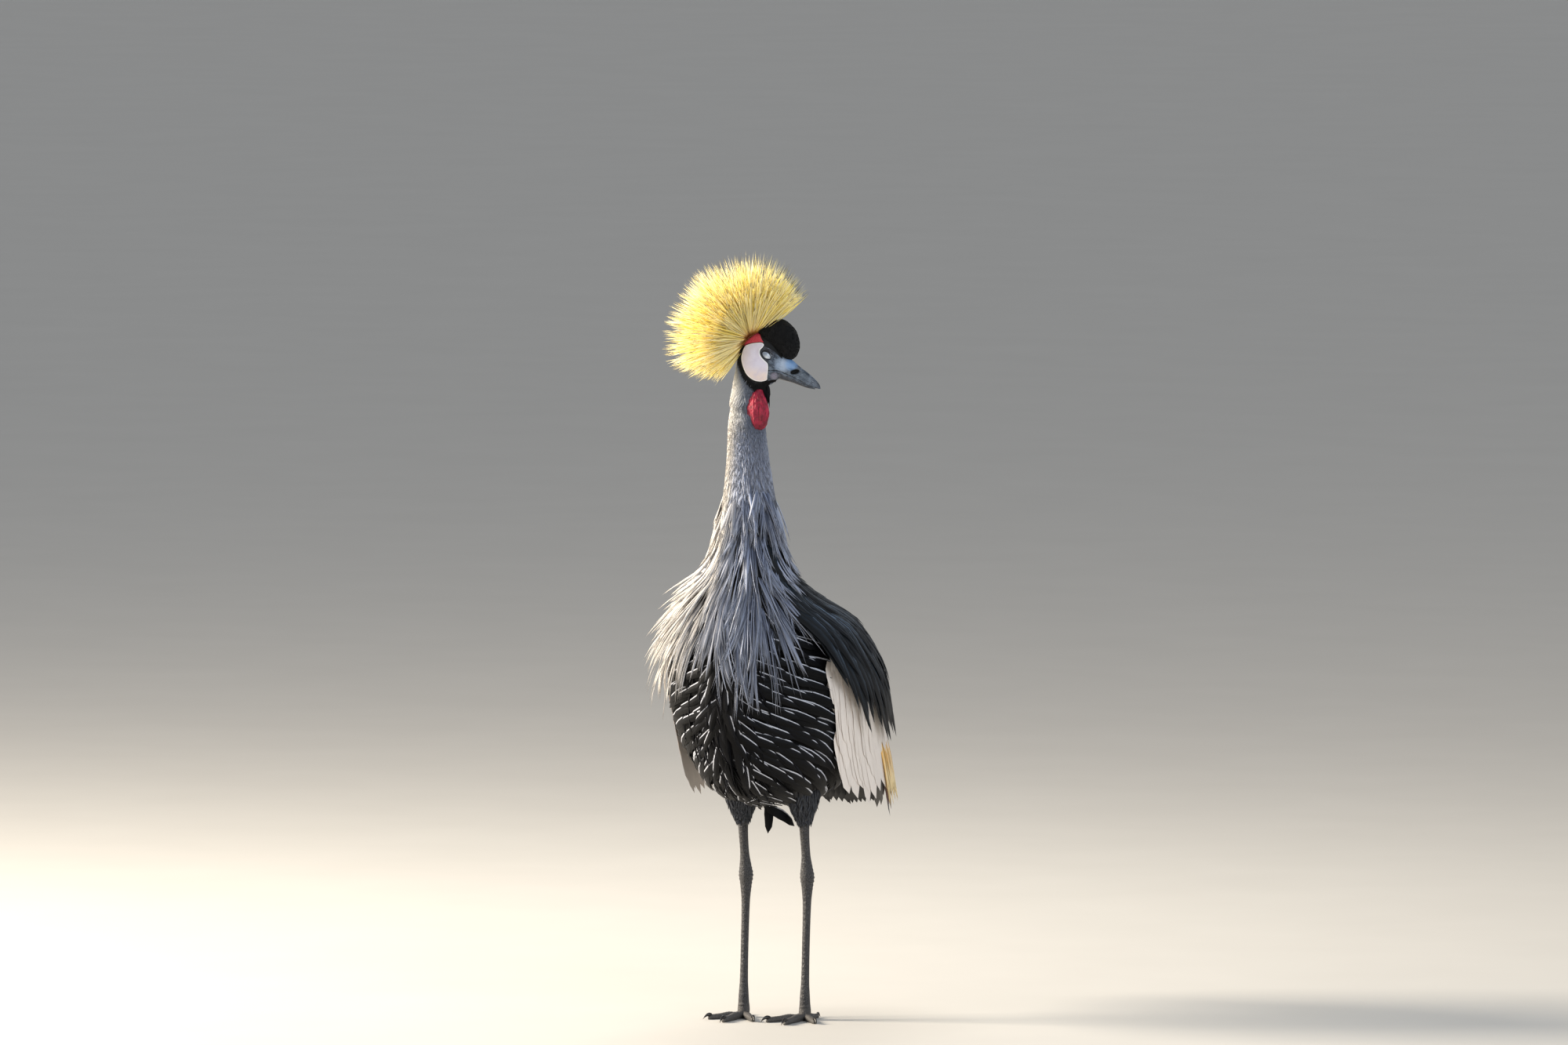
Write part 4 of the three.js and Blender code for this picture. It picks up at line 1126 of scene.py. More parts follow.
def strands(angle, height, heading, length, lift, count, turn=0.0, hang=HANG, ease=1.3):
    """Lines on the drape, and the outward direction along them, for arrays of roots."""
    places = walk(angle, height, heading, length, count, turn, hang, ease)
    line = [drape(a, z, lift(share, a, z) + 0 * a, hang) for share, a, z in places]
    return np.stack(line, 1), np.stack([outward(a, z, hang) for _, a, z in places], 1)


def aimed(tip_angle, tip, heading, length, lift, count, turn=0.0, hang=HANG):
    """Lines whose tips arrive at given places, with the angles and heights of their roots."""
    angle, height = tip_angle, tip + length * np.cos(np.radians(heading))
    for _ in range(4):
        _, end_angle, end = walk(angle, height, heading, length, count, turn, hang)[-1]
        angle, height = angle + tip_angle - end_angle, np.minimum(height + tip - end, 900.0)
    line, out = strands(angle, height, heading, length, lift, count, turn, hang)
    return line, out, angle, height


def bunched(draw, line, out, each, wide, deep):
    """Several strands round every line, apart at the root and drawn together at the tip."""
    many, stations = line.shape[:2]
    which = np.repeat(np.arange(many), each)
    reach = (0.72 + 0.28 * draw.random(len(which)))[:, None] * np.arange(stations)
    low = np.minimum(reach.astype(int), stations - 2)
    part = (reach - low)[:, :, None]
    bent = line[which[:, None], low] * (1 - part) + line[which[:, None], low + 1] * part
    share = (np.arange(stations) / (stations - 1))[None, :, None]
    aside = unit(np.cross(np.gradient(line, axis=1), out))[which]
    off, curl = jitter(draw, len(which), wide), jitter(draw, len(which), 0.9 * wide)
    rank = draw.random(len(which))
    bent = bent + aside * (off[:, None, None] * (1 - 0.8 * share) + curl[:, None, None] * share**3)
    bent = bent + out[which] * (rank * deep)[:, None, None] * share**0.5
    return bent, out[which], which, rank


def rising(start, end, bend=0.45):
    return lambda share, *_: start + (end - start) * share**bend


print("half way along, a line has risen by", round(rising(0, 1)(0.5), 2), "of its lift")

# %% [markdown]
# Feathers come in thousands, so they are made as joined meshes from arrays. A closed section is
# swept along every line: three corners for a narrow lock, five for a vane with a ridge. A feather
# map runs over each one, across and along, for shaft and barbs, and a second map called OFBake
# gives it a small patch near its root. The edges of broad feathers are marked sharp, because
# smooth shading round a thin edge would look carved.

# %% One maker for all feathers
LOCK = np.array([(-1, -0.35), (0, 0.6), (1, -0.35)])
VANE = np.array([(-1, -0.55), (-0.5, 0.25), (0, 0.6), (0.5, 0.25), (1, -0.55)])
BAKE_PATCH = 0.003


def profile(*points):
    """A feather's half width along its length, through pairs of share and width."""
    where, wide = zip(*points)
    return lambda share: np.interp(share, where, wide)


LANCE = profile((0, 0.2), (0.12, 0.8), (0.4, 1), (0.75, 0.62), (1, 0.08))
BLUNT = profile((0, 0.25), (0.15, 0.85), (0.6, 1), (0.88, 0.8), (1, 0.25))
PLUME = profile((0, 0.3), (0.2, 0.9), (0.5, 1), (0.8, 0.55), (1, 0.1))


def bake_place(angle, height):
    """A place for the bake patch, on the body unrolled round its axis."""
    return np.stack([(np.asarray(angle) / 360) % 1, (np.asarray(height) - 290) / 840], -1)


def feathers(name, finish, line, out, half, shape, root, tip, spot, section=VANE, thick=0.8,
             fade=(0.3, 1.0), replaces=(), ease=1.3, roll=0.0, flip=1.0, crisp=False, seed=1):
    """Joined feathers along lines, coloured from root to tip, as one piece of the bird."""
    draw = np.random.default_rng(seed)
    many, stations = line.shape[:2]
    inner, corners = stations - 2, len(section)
    share = (np.arange(stations) / (stations - 1)) ** ease
    ahead = unit(line[:, 2:] - line[:, :-2])
    aside = unit(np.cross(ahead, out[:, 1:-1]))
    up = np.cross(aside, ahead)
    roll = np.broadcast_to(roll, many)[:, None, None]
    aside, up = aside * np.cos(roll) + up * np.sin(roll), up * np.cos(roll) - aside * np.sin(roll)
    width = np.broadcast_to(half, many)[:, None] * shape(share[1:-1])[None]
    body = line[:, 1:-1, None] + aside[:, :, None] * (width[..., None] * section[:, 0])[..., None]
    body = body + up[:, :, None] * (thick * section[:, 1])[:, None]
    verts = np.concatenate([line[:, :1], body.reshape(many, -1, 3), line[:, -1:]], 1)
    each = verts.shape[1]
    ring = lambda s, k: 1 + s * corners + k % corners
    faces = [(0, ring(0, k + 1), ring(0, k)) for k in range(corners)]
    for s in range(inner - 1):
        for k in range(corners):
            a, b, c, d = ring(s, k), ring(s, k + 1), ring(s + 1, k + 1), ring(s + 1, k)
            faces += [(a, b, c), (a, c, d)]
    faces += [(each - 1, ring(inner - 1, k), ring(inner - 1, k + 1)) for k in range(corners)]
    faces = np.array(faces)
    tris = (faces[None] + (np.arange(many) * each)[:, None, None]).reshape(-1, 3)
    across = np.concatenate([[0.5], np.tile(section[:, 0] / 2 + 0.5, inner), [0.5]])
    along = np.concatenate([[0], np.repeat(share[1:-1], corners), [1]])
    chance = draw.random(many)
    tone = smooth(along, *fade)[None, :, None]
    root, tip = (np.broadcast_to(c, (many, 3))[:, None] for c in (root, tip))
    colours = root * (1 - tone) + tip * tone
    mesh = bpy.data.meshes.new(name)
    mesh.vertices.add(many * each)
    mesh.vertices.foreach_set("co", metres(verts).ravel())
    mesh.loops.add(tris.size)
    mesh.loops.foreach_set("vertex_index", tris.ravel().astype(np.int32))
    mesh.polygons.add(len(tris))
    mesh.polygons.foreach_set("loop_start", np.arange(0, tris.size, 3, dtype=np.int32))
    mesh.update(calc_edges=True)
    mesh.shade_smooth()
    if crisp:
        mesh.set_sharp_from_angle(angle=math.radians(100))
    across = 0.5 + (across - 0.5) * np.broadcast_to(flip, many)[:, None]
    flat = np.stack([across, np.broadcast_to(along, across.shape)], -1)
    patch = spot[:, None] + (flat - 0.5) * BAKE_PATCH
    for layer, places in (("OFBake", patch), ("Feather", flat)):
        uv = mesh.uv_layers.new(name=layer)
        uv.data.foreach_set("uv", places.reshape(-1, 2)[tris.ravel()].astype(np.float32).ravel())
    store(mesh, "tone", colours.reshape(-1, 3))
    store(mesh, "chance", np.repeat(chance, each))
    return dressed(name, mesh, finish, *replaces)


print("corners of a lock and of a vane:", len(LOCK), len(VANE))

# %% [markdown]
# One finish serves nearly all feathers. Its colour starts from the tone that each feather brings
# along. Noise that is stretched along the barbs streaks it, and a paler edge, a shaft and a bluish
# painted sheen can be laid over it: a lighter colour on one half, standing for light on that side.

# %% A finish for feathers


def plumage(name, shaft=None, shaft_share=0.05, shaft_amount=0.6, barbs=0.35, edge=None,
            edge_amount=0.5, edge_from=0.34, rough=0.62, grain=34.0, relief=0.0002, sheen=None,
            uneven=0.24, gloss=0.3):
    """A feather finish: its own tone, streaked by barbs, with a shaft and paler edges."""
    made = Finish(name, roughness=rough, specular_ior_level=gloss)
    across, along, _ = made.split(made.map("Feather"))
    chance = made.number("chance")
    off = (across - 0.5).size()
    lean = along - off * 0.22
    streak = made.noise(made.combine(off * 3.0, lean * grain, chance * 40), 1.0, 3.0, 0.65)
    share = streak * (2 * barbs) + (1 - barbs) + (chance - 0.5) * uneven
    colour = made.shade(made.tint("tone"), share)
    side = off
    # Painted sheen: a lighter colour over one half of each feather, following the barbs, for light
    # on that side; the pale edge then keeps to that half.
    if sheen is not None:
        side = across - 0.5
        colour = made.mix(across.ramp(0.25, 0.85, 0.0, 0.8) * streak.ramp(0.2, 0.8), colour, sheen)
    if edge is not None:
        rim = side.ramp(edge_from, edge_from + 0.08, 0.0, edge_amount) * along.ramp(0.1, 0.4)
        colour = made.mix(rim * streak.ramp(0.25, 0.55, 0.4, 1.0), colour, edge)
    if shaft is not None:
        line = off.ramp(shaft_share, shaft_share * 0.4, 0.0, shaft_amount)
        colour = made.mix(line * along.ramp(0.98, 0.7), colour, shaft)
    made.bump(streak + off.ramp(shaft_share, 0.0), relief, 0.7)
    return made.show(base_color=colour, roughness=streak * 0.25 + (rough - 0.12))


print("the feather finish is ready")

# %% [markdown]
# The neck wears narrow plumes that cover one another like thatch, and get longer on the way down.
# Each plume's colour follows its place: blue-grey in front, paler behind, and whitest on the
# bird's right, where the light from that side is painted into it. Plumes that lie deeper are
# darker, so that the gaps between the upper ones read as shadow, as they do in the photo.

# %% Plumes of the upper neck
GREY, SLATE_GREY, PALE, SUNLIT_WHITE = rgb(0x929CB4), rgb(0x4A5268), rgb(0xC4CAD8), rgb(0xFBF3E6)


def from_front(angle):
    return 180 - np.abs(angle % 360 - 180)


def side_depth(points, outline):
    """How deep points of the head lie inside an outline of its side."""
    face = in_head(points)
    return np.where(np.abs(face[:, 1]) > 3, depth_in(softened(outline), face[:, [0, 2]]), -20)


def nape_tone(points, shade):
    """Grey behind the black band of the face, then white, and blue-grey under the throat."""
    front = smooth(in_head(points)[:, 0], -50, -26)
    white = (smooth(-side_depth(points, BARE_NAPE), 0, 9) * (1 - front))[:, None]
    return (rgb(0x737C8C) * (1 - white) + rgb(0xF8F5EF) * white) * shade


def neck_tones(draw, angle, height, rank=0.6):
    """Root and tip colours of neck plumes by place, with painted light on the bird's right."""
    n = len(angle)
    behind = smooth(from_front(angle), 65, 140)[:, None]
    side = -((angle + 180) % 360 - 180)
    # Painted light: on the bird's right the plumes are whitened towards cream, for the light from
    # that side.
    right = smooth(side, -6 + 8 * smooth(height, 760, 830), 44)[:, None]
    low = smooth(-height, -700, -560)[:, None]
    mixed = draw.random(n)[:, None]
    rank = np.broadcast_to(rank, n)[:, None]
    base = (SLATE_GREY * (1 - mixed) + GREY * mixed) * (0.45 + 0.85 * rank)
    base = base * (1 - 0.7 * behind) + PALE * 0.7 * behind
    # The painted light whitens upper plumes more than deeper ones, and the tips most of all.
    white = 0.8 * right * (0.12 + 0.88 * rank)
    base = base * (1 - white) + SUNLIT_WHITE * white
    tip = base * 0.6 + PALE * 0.4
    tip = tip * (1 - 0.7 * right) + SUNLIT_WHITE * 0.7 * right
    return base * (1 - 0.6 * low), tip * (1 - 0.08 * low)


def upper_neck():
    draw = np.random.default_rng(11)
    many = 7000
    height = 916 - 128 * draw.random(many) ** 0.9
    angle = draw.random(many) * 360
    short = smooth(height, 778, 872)
    length = (46 - 31 * short) * (0.75 + 0.5 * draw.random(many))
    coat = 5 * smooth(-height, -918, -880)
    top = 0.7 + (3.3 - 2.4 * short) * draw.random(many)
    lift = lambda share, a, z: coat * 0.8 - 3.2 + (top + 3.2) * share**0.5
    heading = 6 * np.sin(angle / 17 + height / 23) + jitter(draw, many, 7)
    line, out = strands(angle, height, heading, length, lift, 5, turn=jitter(draw, many, 14))
    root, tip = neck_tones(draw, angle, height, 0.6 + 0.5 * draw.random(many))
    high = smooth(height, 850, 900)[:, None]
    nape = nape_tone(line[:, 0], 0.8 + 0.3 * draw.random((many, 1)))
    root, tip = (c * (1 - high) + nape * high for c in (root, tip))
    half = (1.5 - 0.95 * short) * (0.7 + 0.6 * draw.random(many))
    return feathers(
        "plumes_upper_neck", neck_material, line, out, half, PLUME, root * 0.9, tip,
        bake_place(angle, height), section=LOCK, thick=0.4, roll=jitter(draw, many, 0.2), seed=12,
    )


neck_material = plumage(
    "neck_plume", shaft=rgb(0x59617A), shaft_share=0.10, shaft_amount=0.35, barbs=0.22,
    edge=rgb(0xDDE1EC), edge_amount=0.35, rough=0.5,
)
upper_neck()

# %% [markdown]
# Under the plumes of the lower neck lies a short coat in their own tones, painted nearly black as
# the shadow in the gaps between them. The plumes over it are long, fan out over the shoulders and
# end in fine points above the breast. They cling together in wisps, so each line of them carries
# five or six strands, and thinner ones lie on top. Plumes on the bird's right are blown clear of
# the body, so their lift grows towards the tip.

# %% Plumes of the lower neck


def plume_length(angle, height):
    away = smooth(np.where(angle > 0, angle, -angle - 12), 48, 84)
    front = 92 + 66 * smooth(-height, -770, -650) - 22 * smooth(-height, -625, -585)
    behind = 92 - 34 * smooth(-height, -770, -655)
    return front + (behind - front) * away


def plume_roots(draw, many, low_edge=600.0):
    """Places for roots: all round above the shoulders, then over the breast and right only."""
    height = 790 - (790 - low_edge) * draw.random(many) ** 1.15
    low = smooth(-height, -704, -652)
    right, left = -180 + 94 * low, 180 - 134 * low
    return right + (left - right) * draw.random(many), height


def combed(angle, height, amount=1.0):
    """A heading that changes smoothly from place to place, so that neighbours lie together."""
    wide = 6 * np.sin(angle / 9.0 + height / 31) + 4.5 * np.sin(angle / 5.3 - height / 47 + 1.7)
    return amount * wide


def lower_neck(name, seed, many, each, spread, half, dark, gust=0.0, under=False, section=VANE):
    draw = np.random.default_rng(seed)
    angle, height = plume_roots(draw, many)
    length = plume_length(angle, height) * (0.6 if under else 1)
    length = length * (0.62 + 0.52 * draw.random(many) ** 1.3)
    away = smooth(from_front(angle), 48, 84)
    top = spread[0] + (spread[1] - spread[0]) * draw.random(many) + 3 * away
    blown = smooth(-angle, 44, 74) * smooth(angle, -118, -92) * smooth(-height, -740, -690)
    blow = gust * blown * draw.random(many) ** 1.4
    lift = lambda share, a, z: -2 + (top + 2) * share**0.5 + blow * share**1.7
    heading = combed(angle, height) + jitter(draw, many, 3.5) - 8 * blown
    heading = heading + np.where(height < 660, 0.1 * np.minimum(angle, 0), 0)
    turn = 8 * np.sin(angle / 6.1 + 2) + jitter(draw, many, 13)
    line, out = strands(angle, height, heading, length, lift, 8, turn=turn)
    line, out, which, rank = bunched(draw, line, out, each, 7.0, 3.0)
    angle, height, many = angle[which], height[which], len(which)
    root, tip = neck_tones(draw, angle, height, rank)
    spot = bake_place(angle, height) + jitter(draw, (many, 2), 0.004)
    return feathers(
        name, neck_material, line, out, half * (0.7 + 0.6 * draw.random(many)), PLUME,
        root * dark, tip * dark, spot, section=section, thick=1.1, roll=jitter(draw, many, 0.4),
        seed=seed + 1,
    )


def wind_blown():
    """The long plumes of the right side, which stream away from the body."""
    draw = np.random.default_rng(27)
    many = 80
    height = 722 - 134 * draw.random(many)
    angle = -108 + 76 * draw.random(many)
    length = 112 + 44 * draw.random(many)
    gust = 8 + 34 * draw.random(many) ** 1.2
    lift = lambda share, a, z: 1 + 8 * share**0.5 + gust * share**1.6
    heading = -6 + jitter(draw, many, 9)
    line, out = strands(angle, height, heading, length, lift, 9, turn=jitter(draw, many, 16))
    line, out, which, rank = bunched(draw, line, out, 4, 7.0, 4.0)
    angle, height, many = angle[which], height[which], len(which)
    root, tip = neck_tones(draw, angle, height, rank)
    spot = bake_place(angle, height) + jitter(draw, (many, 2), 0.004)
    return feathers(
        "plumes_wind_blown", neck_material, line, out, 1.7 * (0.6 + 0.7 * draw.random(many)), PLUME,
        root, tip, spot, thick=1.0, roll=jitter(draw, many, 0.5), seed=28,
    )


# The under coat is painted shadow: the plumes' tones at 0.14 of their brightness.
lower_neck("plumes_under_coat", 21, 1000, 1, (0, 4), 3.4, 0.14, under=True, section=LOCK)
lower_neck("plumes_lower_neck", 23, 250, 6, (4, 15), 1.9, 0.88, gust=26)
lower_neck("plumes_fine", 25, 130, 5, (6, 17), 0.85, 1.0, gust=32, section=LOCK)
wind_blown()

# %% [markdown]
# The breast is covered by black lance-shaped feathers, and each shows a pale line along its upper
# edge. They part in the middle and sweep back along the flanks, where they lie almost level. Every
# feather is aimed by its tip, so the tips stay evenly spread while the roots follow from the sweep
# and the length. A flat coat without pale edges lies under them, and loose wisps hang over the
# parting.

# %% Breast and flanks
NO_HANG = 0.0
INK, CHARCOAL = rgb(0x101115), rgb(0x2A2D34)


def sweep_at(tip, height):
    outer = smooth(np.abs(tip), -4, 34) * smooth(-height, -620, -525)
    return np.sign(tip) * (12 + 68 * outer - 14 * smooth(-height, -430, -350))


def shaken_grid(draw, angles, heights, amount=0.7):
    """Places in staggered rows, each shaken a little, as angles and heights."""
    rows = []
    step = angles[1] - angles[0]
    for r, height in enumerate(heights):
        angle = np.asarray(angles) + (step / 2 if r % 2 else 0)
        rows.append(np.stack([angle, np.full(len(angle), height)], -1))
    places = np.concatenate(rows)
    rise = abs(heights[1] - heights[0])
    shake = (draw.random(places.shape) - 0.5) * (amount * step, amount * rise)
    return (places + shake).T


def breast(name, seed, finish, apart, tone, raised):
    draw = np.random.default_rng(seed)
    tip_angle, tip_height = shaken_grid(
        draw, np.arange(-112, 113, apart), np.arange(630, 300, -9.5), 0.45
    )
    keep = np.abs(tip_angle) < 112 - 30 * smooth(tip_height, 500, 640)
    tip_angle, tip_height = tip_angle[keep], tip_height[keep]
    many = len(tip_angle)
    sweep = sweep_at(tip_angle, tip_height) + jitter(draw, many, 3)
    length = (100 - 40 * smooth(-tip_height, -370, -310)) * (0.85 + 0.3 * draw.random(many))
    line, out, angle, height = aimed(
        tip_angle, tip_height, sweep, length, rising(-6, raised * (1 + draw.random(many))), 7,
        turn=-16 * np.sign(tip_angle) + jitter(draw, many, 5), hang=NO_HANG,
    )
    dark = (0.7 + 0.6 * draw.random(many))[:, None]
    return feathers(
        name, finish, line, out, 7.2 * (0.85 + 0.3 * draw.random(many)), LONG, tone * dark,
        tone * dark, bake_place(angle, height), thick=0.7, seed=seed + 1, flip=-np.sign(tip_angle),
        roll=jitter(draw, many, 0.1), crisp=True,
    )


def breast_wisps():
    """Loose dark feathers that hang over the parting of the breast."""
    draw = np.random.default_rng(35)
    many = 200
    angle, height = 13 * draw.standard_normal(many) - 4, 620 - 250 * draw.random(many)
    heading = 0.8 * angle + jitter(draw, many, 22)
    length = 60 + 40 * draw.random(many)
    line, out = strands(
        angle, height, heading, length, rising(-5, 4 + 3 * draw.random(many)), 7, hang=NO_HANG,
        turn=jitter(draw, many, 20),
    )
    tone = INK * (0.4 + 1.4 * draw.random((many, 1)) ** 3)
    return feathers(
        "breast_wisps", breast_down, line, out, 1.6 * (0.6 + 0.8 * draw.random(many)), LONG, tone,
        tone * 1.6, bake_place(angle, height), section=LOCK, thick=0.7,
        roll=jitter(draw, many, 0.4), seed=36,
    )


LONG = profile((0, 0.2), (0.15, 0.8), (0.5, 1), (0.85, 0.7), (1, 0.06))
# The breast's painted sheen is a dark grey over one half of each feather.
breast_material = plumage(
    "breast_feather", barbs=0.4, edge=rgb(0xCDD0DA), edge_amount=0.95, rough=0.55, edge_from=0.34,
    grain=60.0, sheen=rgb(0x1C1E24), gloss=0.12,
)
breast_down = plumage("breast_down", barbs=0.5, rough=0.75, gloss=0.12)
breast("breast_under_coat", 33, breast_down, 9.0, INK * 0.3, 0.1)
breast("breast_feathers", 31, breast_material, 19.0, INK * 0.35, 4.0)
breast_wisps()

# %% [markdown]
# The belly, the rump and the thighs have shorter, softer feathers without a clear shaft. On the
# thighs they follow the leg. Those lines start at points drawn at random from the skin itself, by
# the area of its faces, and run along the skin with the tip a little raised.

# %% Belly, rump and thighs


def skin_samples(mesh, many, draw, wanted):
    """Random points of a mesh with their normals, on the faces for which wanted is true."""
    mesh.calc_loop_triangles()
    corners = np.empty(len(mesh.loop_triangles) * 3, np.int32)
    mesh.loop_triangles.foreach_get("vertices", corners)
    points, normals = points_of(mesh), normals_of(mesh)
    corners = corners.reshape(-1, 3)
    a, b, c = (points[corners[:, k]] for k in range(3))
    area = np.linalg.norm(np.cross(b - a, c - a), axis=-1) * wanted((a + b + c) / 3)
    pick = draw.choice(len(corners), many, p=area / area.sum())
    u, v = draw.random((2, many, 1))
    u, v = np.where(u + v > 1, 1 - u, u), np.where(u + v > 1, 1 - v, v)
    weigh = lambda q: q[0] + u * (q[1] - q[0]) + v * (q[2] - q[0])
    return weigh(points[corners[pick]].swapaxes(0, 1)), unit(
        weigh(normals[corners[pick]].swapaxes(0, 1))
    )


def lying(points, normals, way, length, sunk, raised, count, bend=0.6):
    """Lines that leave the skin at points and lie along a way, with their tips raised."""
    way = unit(way - normals * np.sum(way * normals, -1, keepdims=True))
    share = np.linspace(0, 1, count + 1)[None, :, None]
    length, raised = (np.broadcast_to(v, len(points))[:, None, None] for v in (length, raised))
    rise = -sunk + (raised + sunk) * share**bend
    line = points[:, None] + way[:, None] * share * length + normals[:, None] * rise
    return line, np.repeat(normals[:, None], count + 1, 1)


def belly():
    draw = np.random.default_rng(41)
    angle, height = shaken_grid(draw, np.arange(0, 360, 5.5), np.arange(470, 322, -8))
    covered = (from_front(angle) < 104) & (height > 350)
    angle, height = angle[~covered], height[~covered]
    many = len(angle)
    length = (44 - 24 * smooth(-height, -345, -322)) * (0.8 + 0.4 * draw.random(many))
    heading = jitter(draw, many, 14) + 20 * np.sin(np.radians(angle))
    line, out = strands(
        angle, height, heading, length, rising(-6, 1 + 3 * draw.random(many)), 5, hang=NO_HANG
    )
    dark = (0.7 + 0.6 * draw.random(many))[:, None]
    return feathers(
        "belly_feathers", down_material, line, out, 5.2, LANCE, INK * dark, CHARCOAL * dark,
        bake_place(angle, height), thick=0.9, roll=jitter(draw, many, 0.3), seed=42,
    )


def thighs():
    draw = np.random.default_rng(43)
    many = 1700
    on_thigh = lambda p: (p[:, 2] < 352) & (np.abs(np.abs(p[:, 0]) - 48) < 27) & (p[:, 2] > 289)
    points, normals = skin_samples(
        skin.data, many, draw, lambda p: on_thigh(p) & (np.hypot(p[:, 1] + 3, 0) < 46)
    )
    way = np.array([0.0, 0.1, -1.0]) + 0.15 * draw.standard_normal((many, 3))
    length = 11 + 15 * smooth(points[:, 2], 292, 330) * (0.7 + 0.5 * draw.random(many))
    line, out = lying(points, normals, way, length, 0.6, 2.2 + draw.random(many), 4)
    dark = (0.7 + 0.7 * draw.random(many))[:, None]
    beside = np.abs(points[:, 0]) - FEET_APART / 2
    round_leg = np.degrees(np.arctan2(points[:, 1], beside)) / 2 + 90 + 180 * (points[:, 0] > 0)
    return feathers(
        "thigh_feathers", down_material, line, out, 2.3, LANCE, CHARCOAL * dark,
        rgb(0x3C4048) * dark, bake_place(round_leg, points[:, 2]), section=LOCK, thick=0.7,
        roll=jitter(draw, many, 0.3), seed=44, ease=1.0,
    )


down_material = plumage("body_down", barbs=0.5, edge=rgb(0x3A3E46), edge_amount=0.5, rough=0.7)
belly()
thighs()

# %% [markdown]
# Under the coverts lies a pad that gives the wing its fullness. It is a grid wrapped on the drape,
# then extruded outwards to its thickness, so it is closed. The same makes the pad of the mantle.

# %% Pads under the mantle and the wings
WING = {"front": 68, "rear": 181, "top": 545, "between": -5}
MANTLE = {"front": 86, "top": 649, "low": 500}


def wing_thick(angle):
    back = from_front(angle) - WING["front"]
    return 5 + 5 * smooth(back, 0, 10) + 7 * smooth(back, 6, 32)


def mantle_thick(height):
    return 5 + 20 * smooth(-height, -622, -552)


def pad(rows, columns, place, outer, inner=-3.0, within=lambda p: p):
    """A closed pad over a patch of the drape, as a bmesh."""
    bm = bmesh.new()
    bmesh.ops.create_grid(bm, x_segments=columns, y_segments=rows, size=1)
    share = np.array([v.co[:] for v in bm.verts]) / 2 + 0.5
    angle, height = place(share[:, 1], share[:, 0])
    grown = bmesh.ops.extrude_face_region(bm, geom=list(bm.faces), use_keep_orig=True)["geom"]
    raised = [v for v in grown if isinstance(v, bmesh.types.BMVert)]
    low = metres(within(drape(angle, height, np.full(len(angle), inner))))
    keys = {tuple(round(c, 5) for c in s): k for k, s in enumerate(share[:, :2])}
    order = [keys[tuple(round(c / 2 + 0.5, 5) for c in v.co[:2])] for v in raised]
    high = metres(within(drape(angle, height, outer(angle, height))))[order]
    flat = [v for v in bm.verts if v not in set(raised)]
    for v, point in zip(raised, high):
        v.co = point
    for v, point in zip(flat, low):
        v.co = point
    return bm


def one_tone(made, colour):
    """Gives a plain piece the colour attribute that feather finishes read."""
    store(made.data, "tone", np.tile(colour, (len(made.data.vertices), 1)))


def wing_place(side):
    def place(s, t):
        top = WING["top"] - 55 * s
        low = 425 - 75 * smooth(s, 0.05, 0.6)
        rounded_off = 12 * (1 - s) ** 3 * (2 * t - 1) ** 2
        angle = WING["front"] + rounded_off + (WING["rear"] - WING["front"]) * s
        return side * angle, top + (low - top) * t

    return place


def own_side(side):
    """Keeps points on one side of the seam where the wings meet."""

    def within(points):
        seam = WING["between"] + 0.4 * side
        x = points[:, 0]
        points[:, 0] = np.maximum(x, seam) if side > 0 else np.minimum(x, seam)
        return points

    return within


def mantle_place(s, t):
    angle = MANTLE["front"] + (360 - 2 * MANTLE["front"]) * t
    return angle, MANTLE["top"] + (MANTLE["low"] - MANTLE["top"]) * s


print("pad thickness over the wing, mm:", wing_thick(np.array([80, 120, 170])).round(1))

# %% [markdown]
# The mantle's feathers are long, pointed and dark slate with a pale line along one edge, and they
# droop over the tops of the wings. They are aimed by their tips like those of the breast, and a
# tip is kept only where it lies above the mantle's own edge, which is a short table of heights.

# %% Mantle
SLATE, SLATE_DARK = rgb(0x0D1014), rgb(0x060708)


def mantle_feathers():
    draw = np.random.default_rng(51)
    tip_angle, tip = shaken_grid(draw, np.arange(70, 291, 7.5), np.arange(640, 392, -12.5))
    keep = tip > np.interp(from_front(tip_angle) - 26 * (tip_angle > 180), *MANTLE_EDGE)
    tip_angle, tip = tip_angle[keep], tip[keep]
    many = len(tip)
    heading = 15 * np.clip((180 - tip_angle) / 60, -1, 1) + jitter(draw, many, 4)
    length = (122 - 50 * smooth(tip, 520, 630)) * (0.85 + 0.26 * draw.random(many))
    top = 3 + 4.5 * draw.random(many)
    lift = lambda share, a, z: mantle_thick(z) - 4 + (top + 4) * share**0.45
    turn = jitter(draw, many, 6)
    line, out, angle, height = aimed(tip_angle, tip, heading, length, lift, 8, turn)
    dark = (0.78 + 0.44 * draw.random(many))[:, None]
    return feathers(
        "mantle_feathers", mantle_material, line, out, 9.6 * (0.85 + 0.3 * draw.random(many)),
        LANCE, SLATE_DARK * dark, SLATE * dark, bake_place(angle, height), thick=1.4,
        fade=(0.1, 0.7), roll=jitter(draw, many, 0.12), flip=np.sign(tip_angle - 180), seed=52,
        crisp=True,
    )


MANTLE_EDGE = (66, 70, 76, 88, 106, 180), (660, 505, 466, 422, 396, 396)
# The mantle's painted sheen is a blue-grey over one half of each feather.
mantle_material = plumage(
    "mantle_feather", barbs=0.3, edge=rgb(0x6E829A), edge_amount=0.75, grain=60.0, edge_from=0.40,
    rough=0.45, sheen=rgb(0x2C3946), gloss=0.18,
)
mantle_pad = piece(
    "mantle_pad", pad(24, 60, mantle_place, lambda a, z: mantle_thick(z)), mantle_material, "mantle"
)
one_tone(mantle_pad, SLATE_DARK)
mantle_feathers()
print("the mantle's lowest tips:", min(MANTLE_EDGE[1]), "mm above the floor")

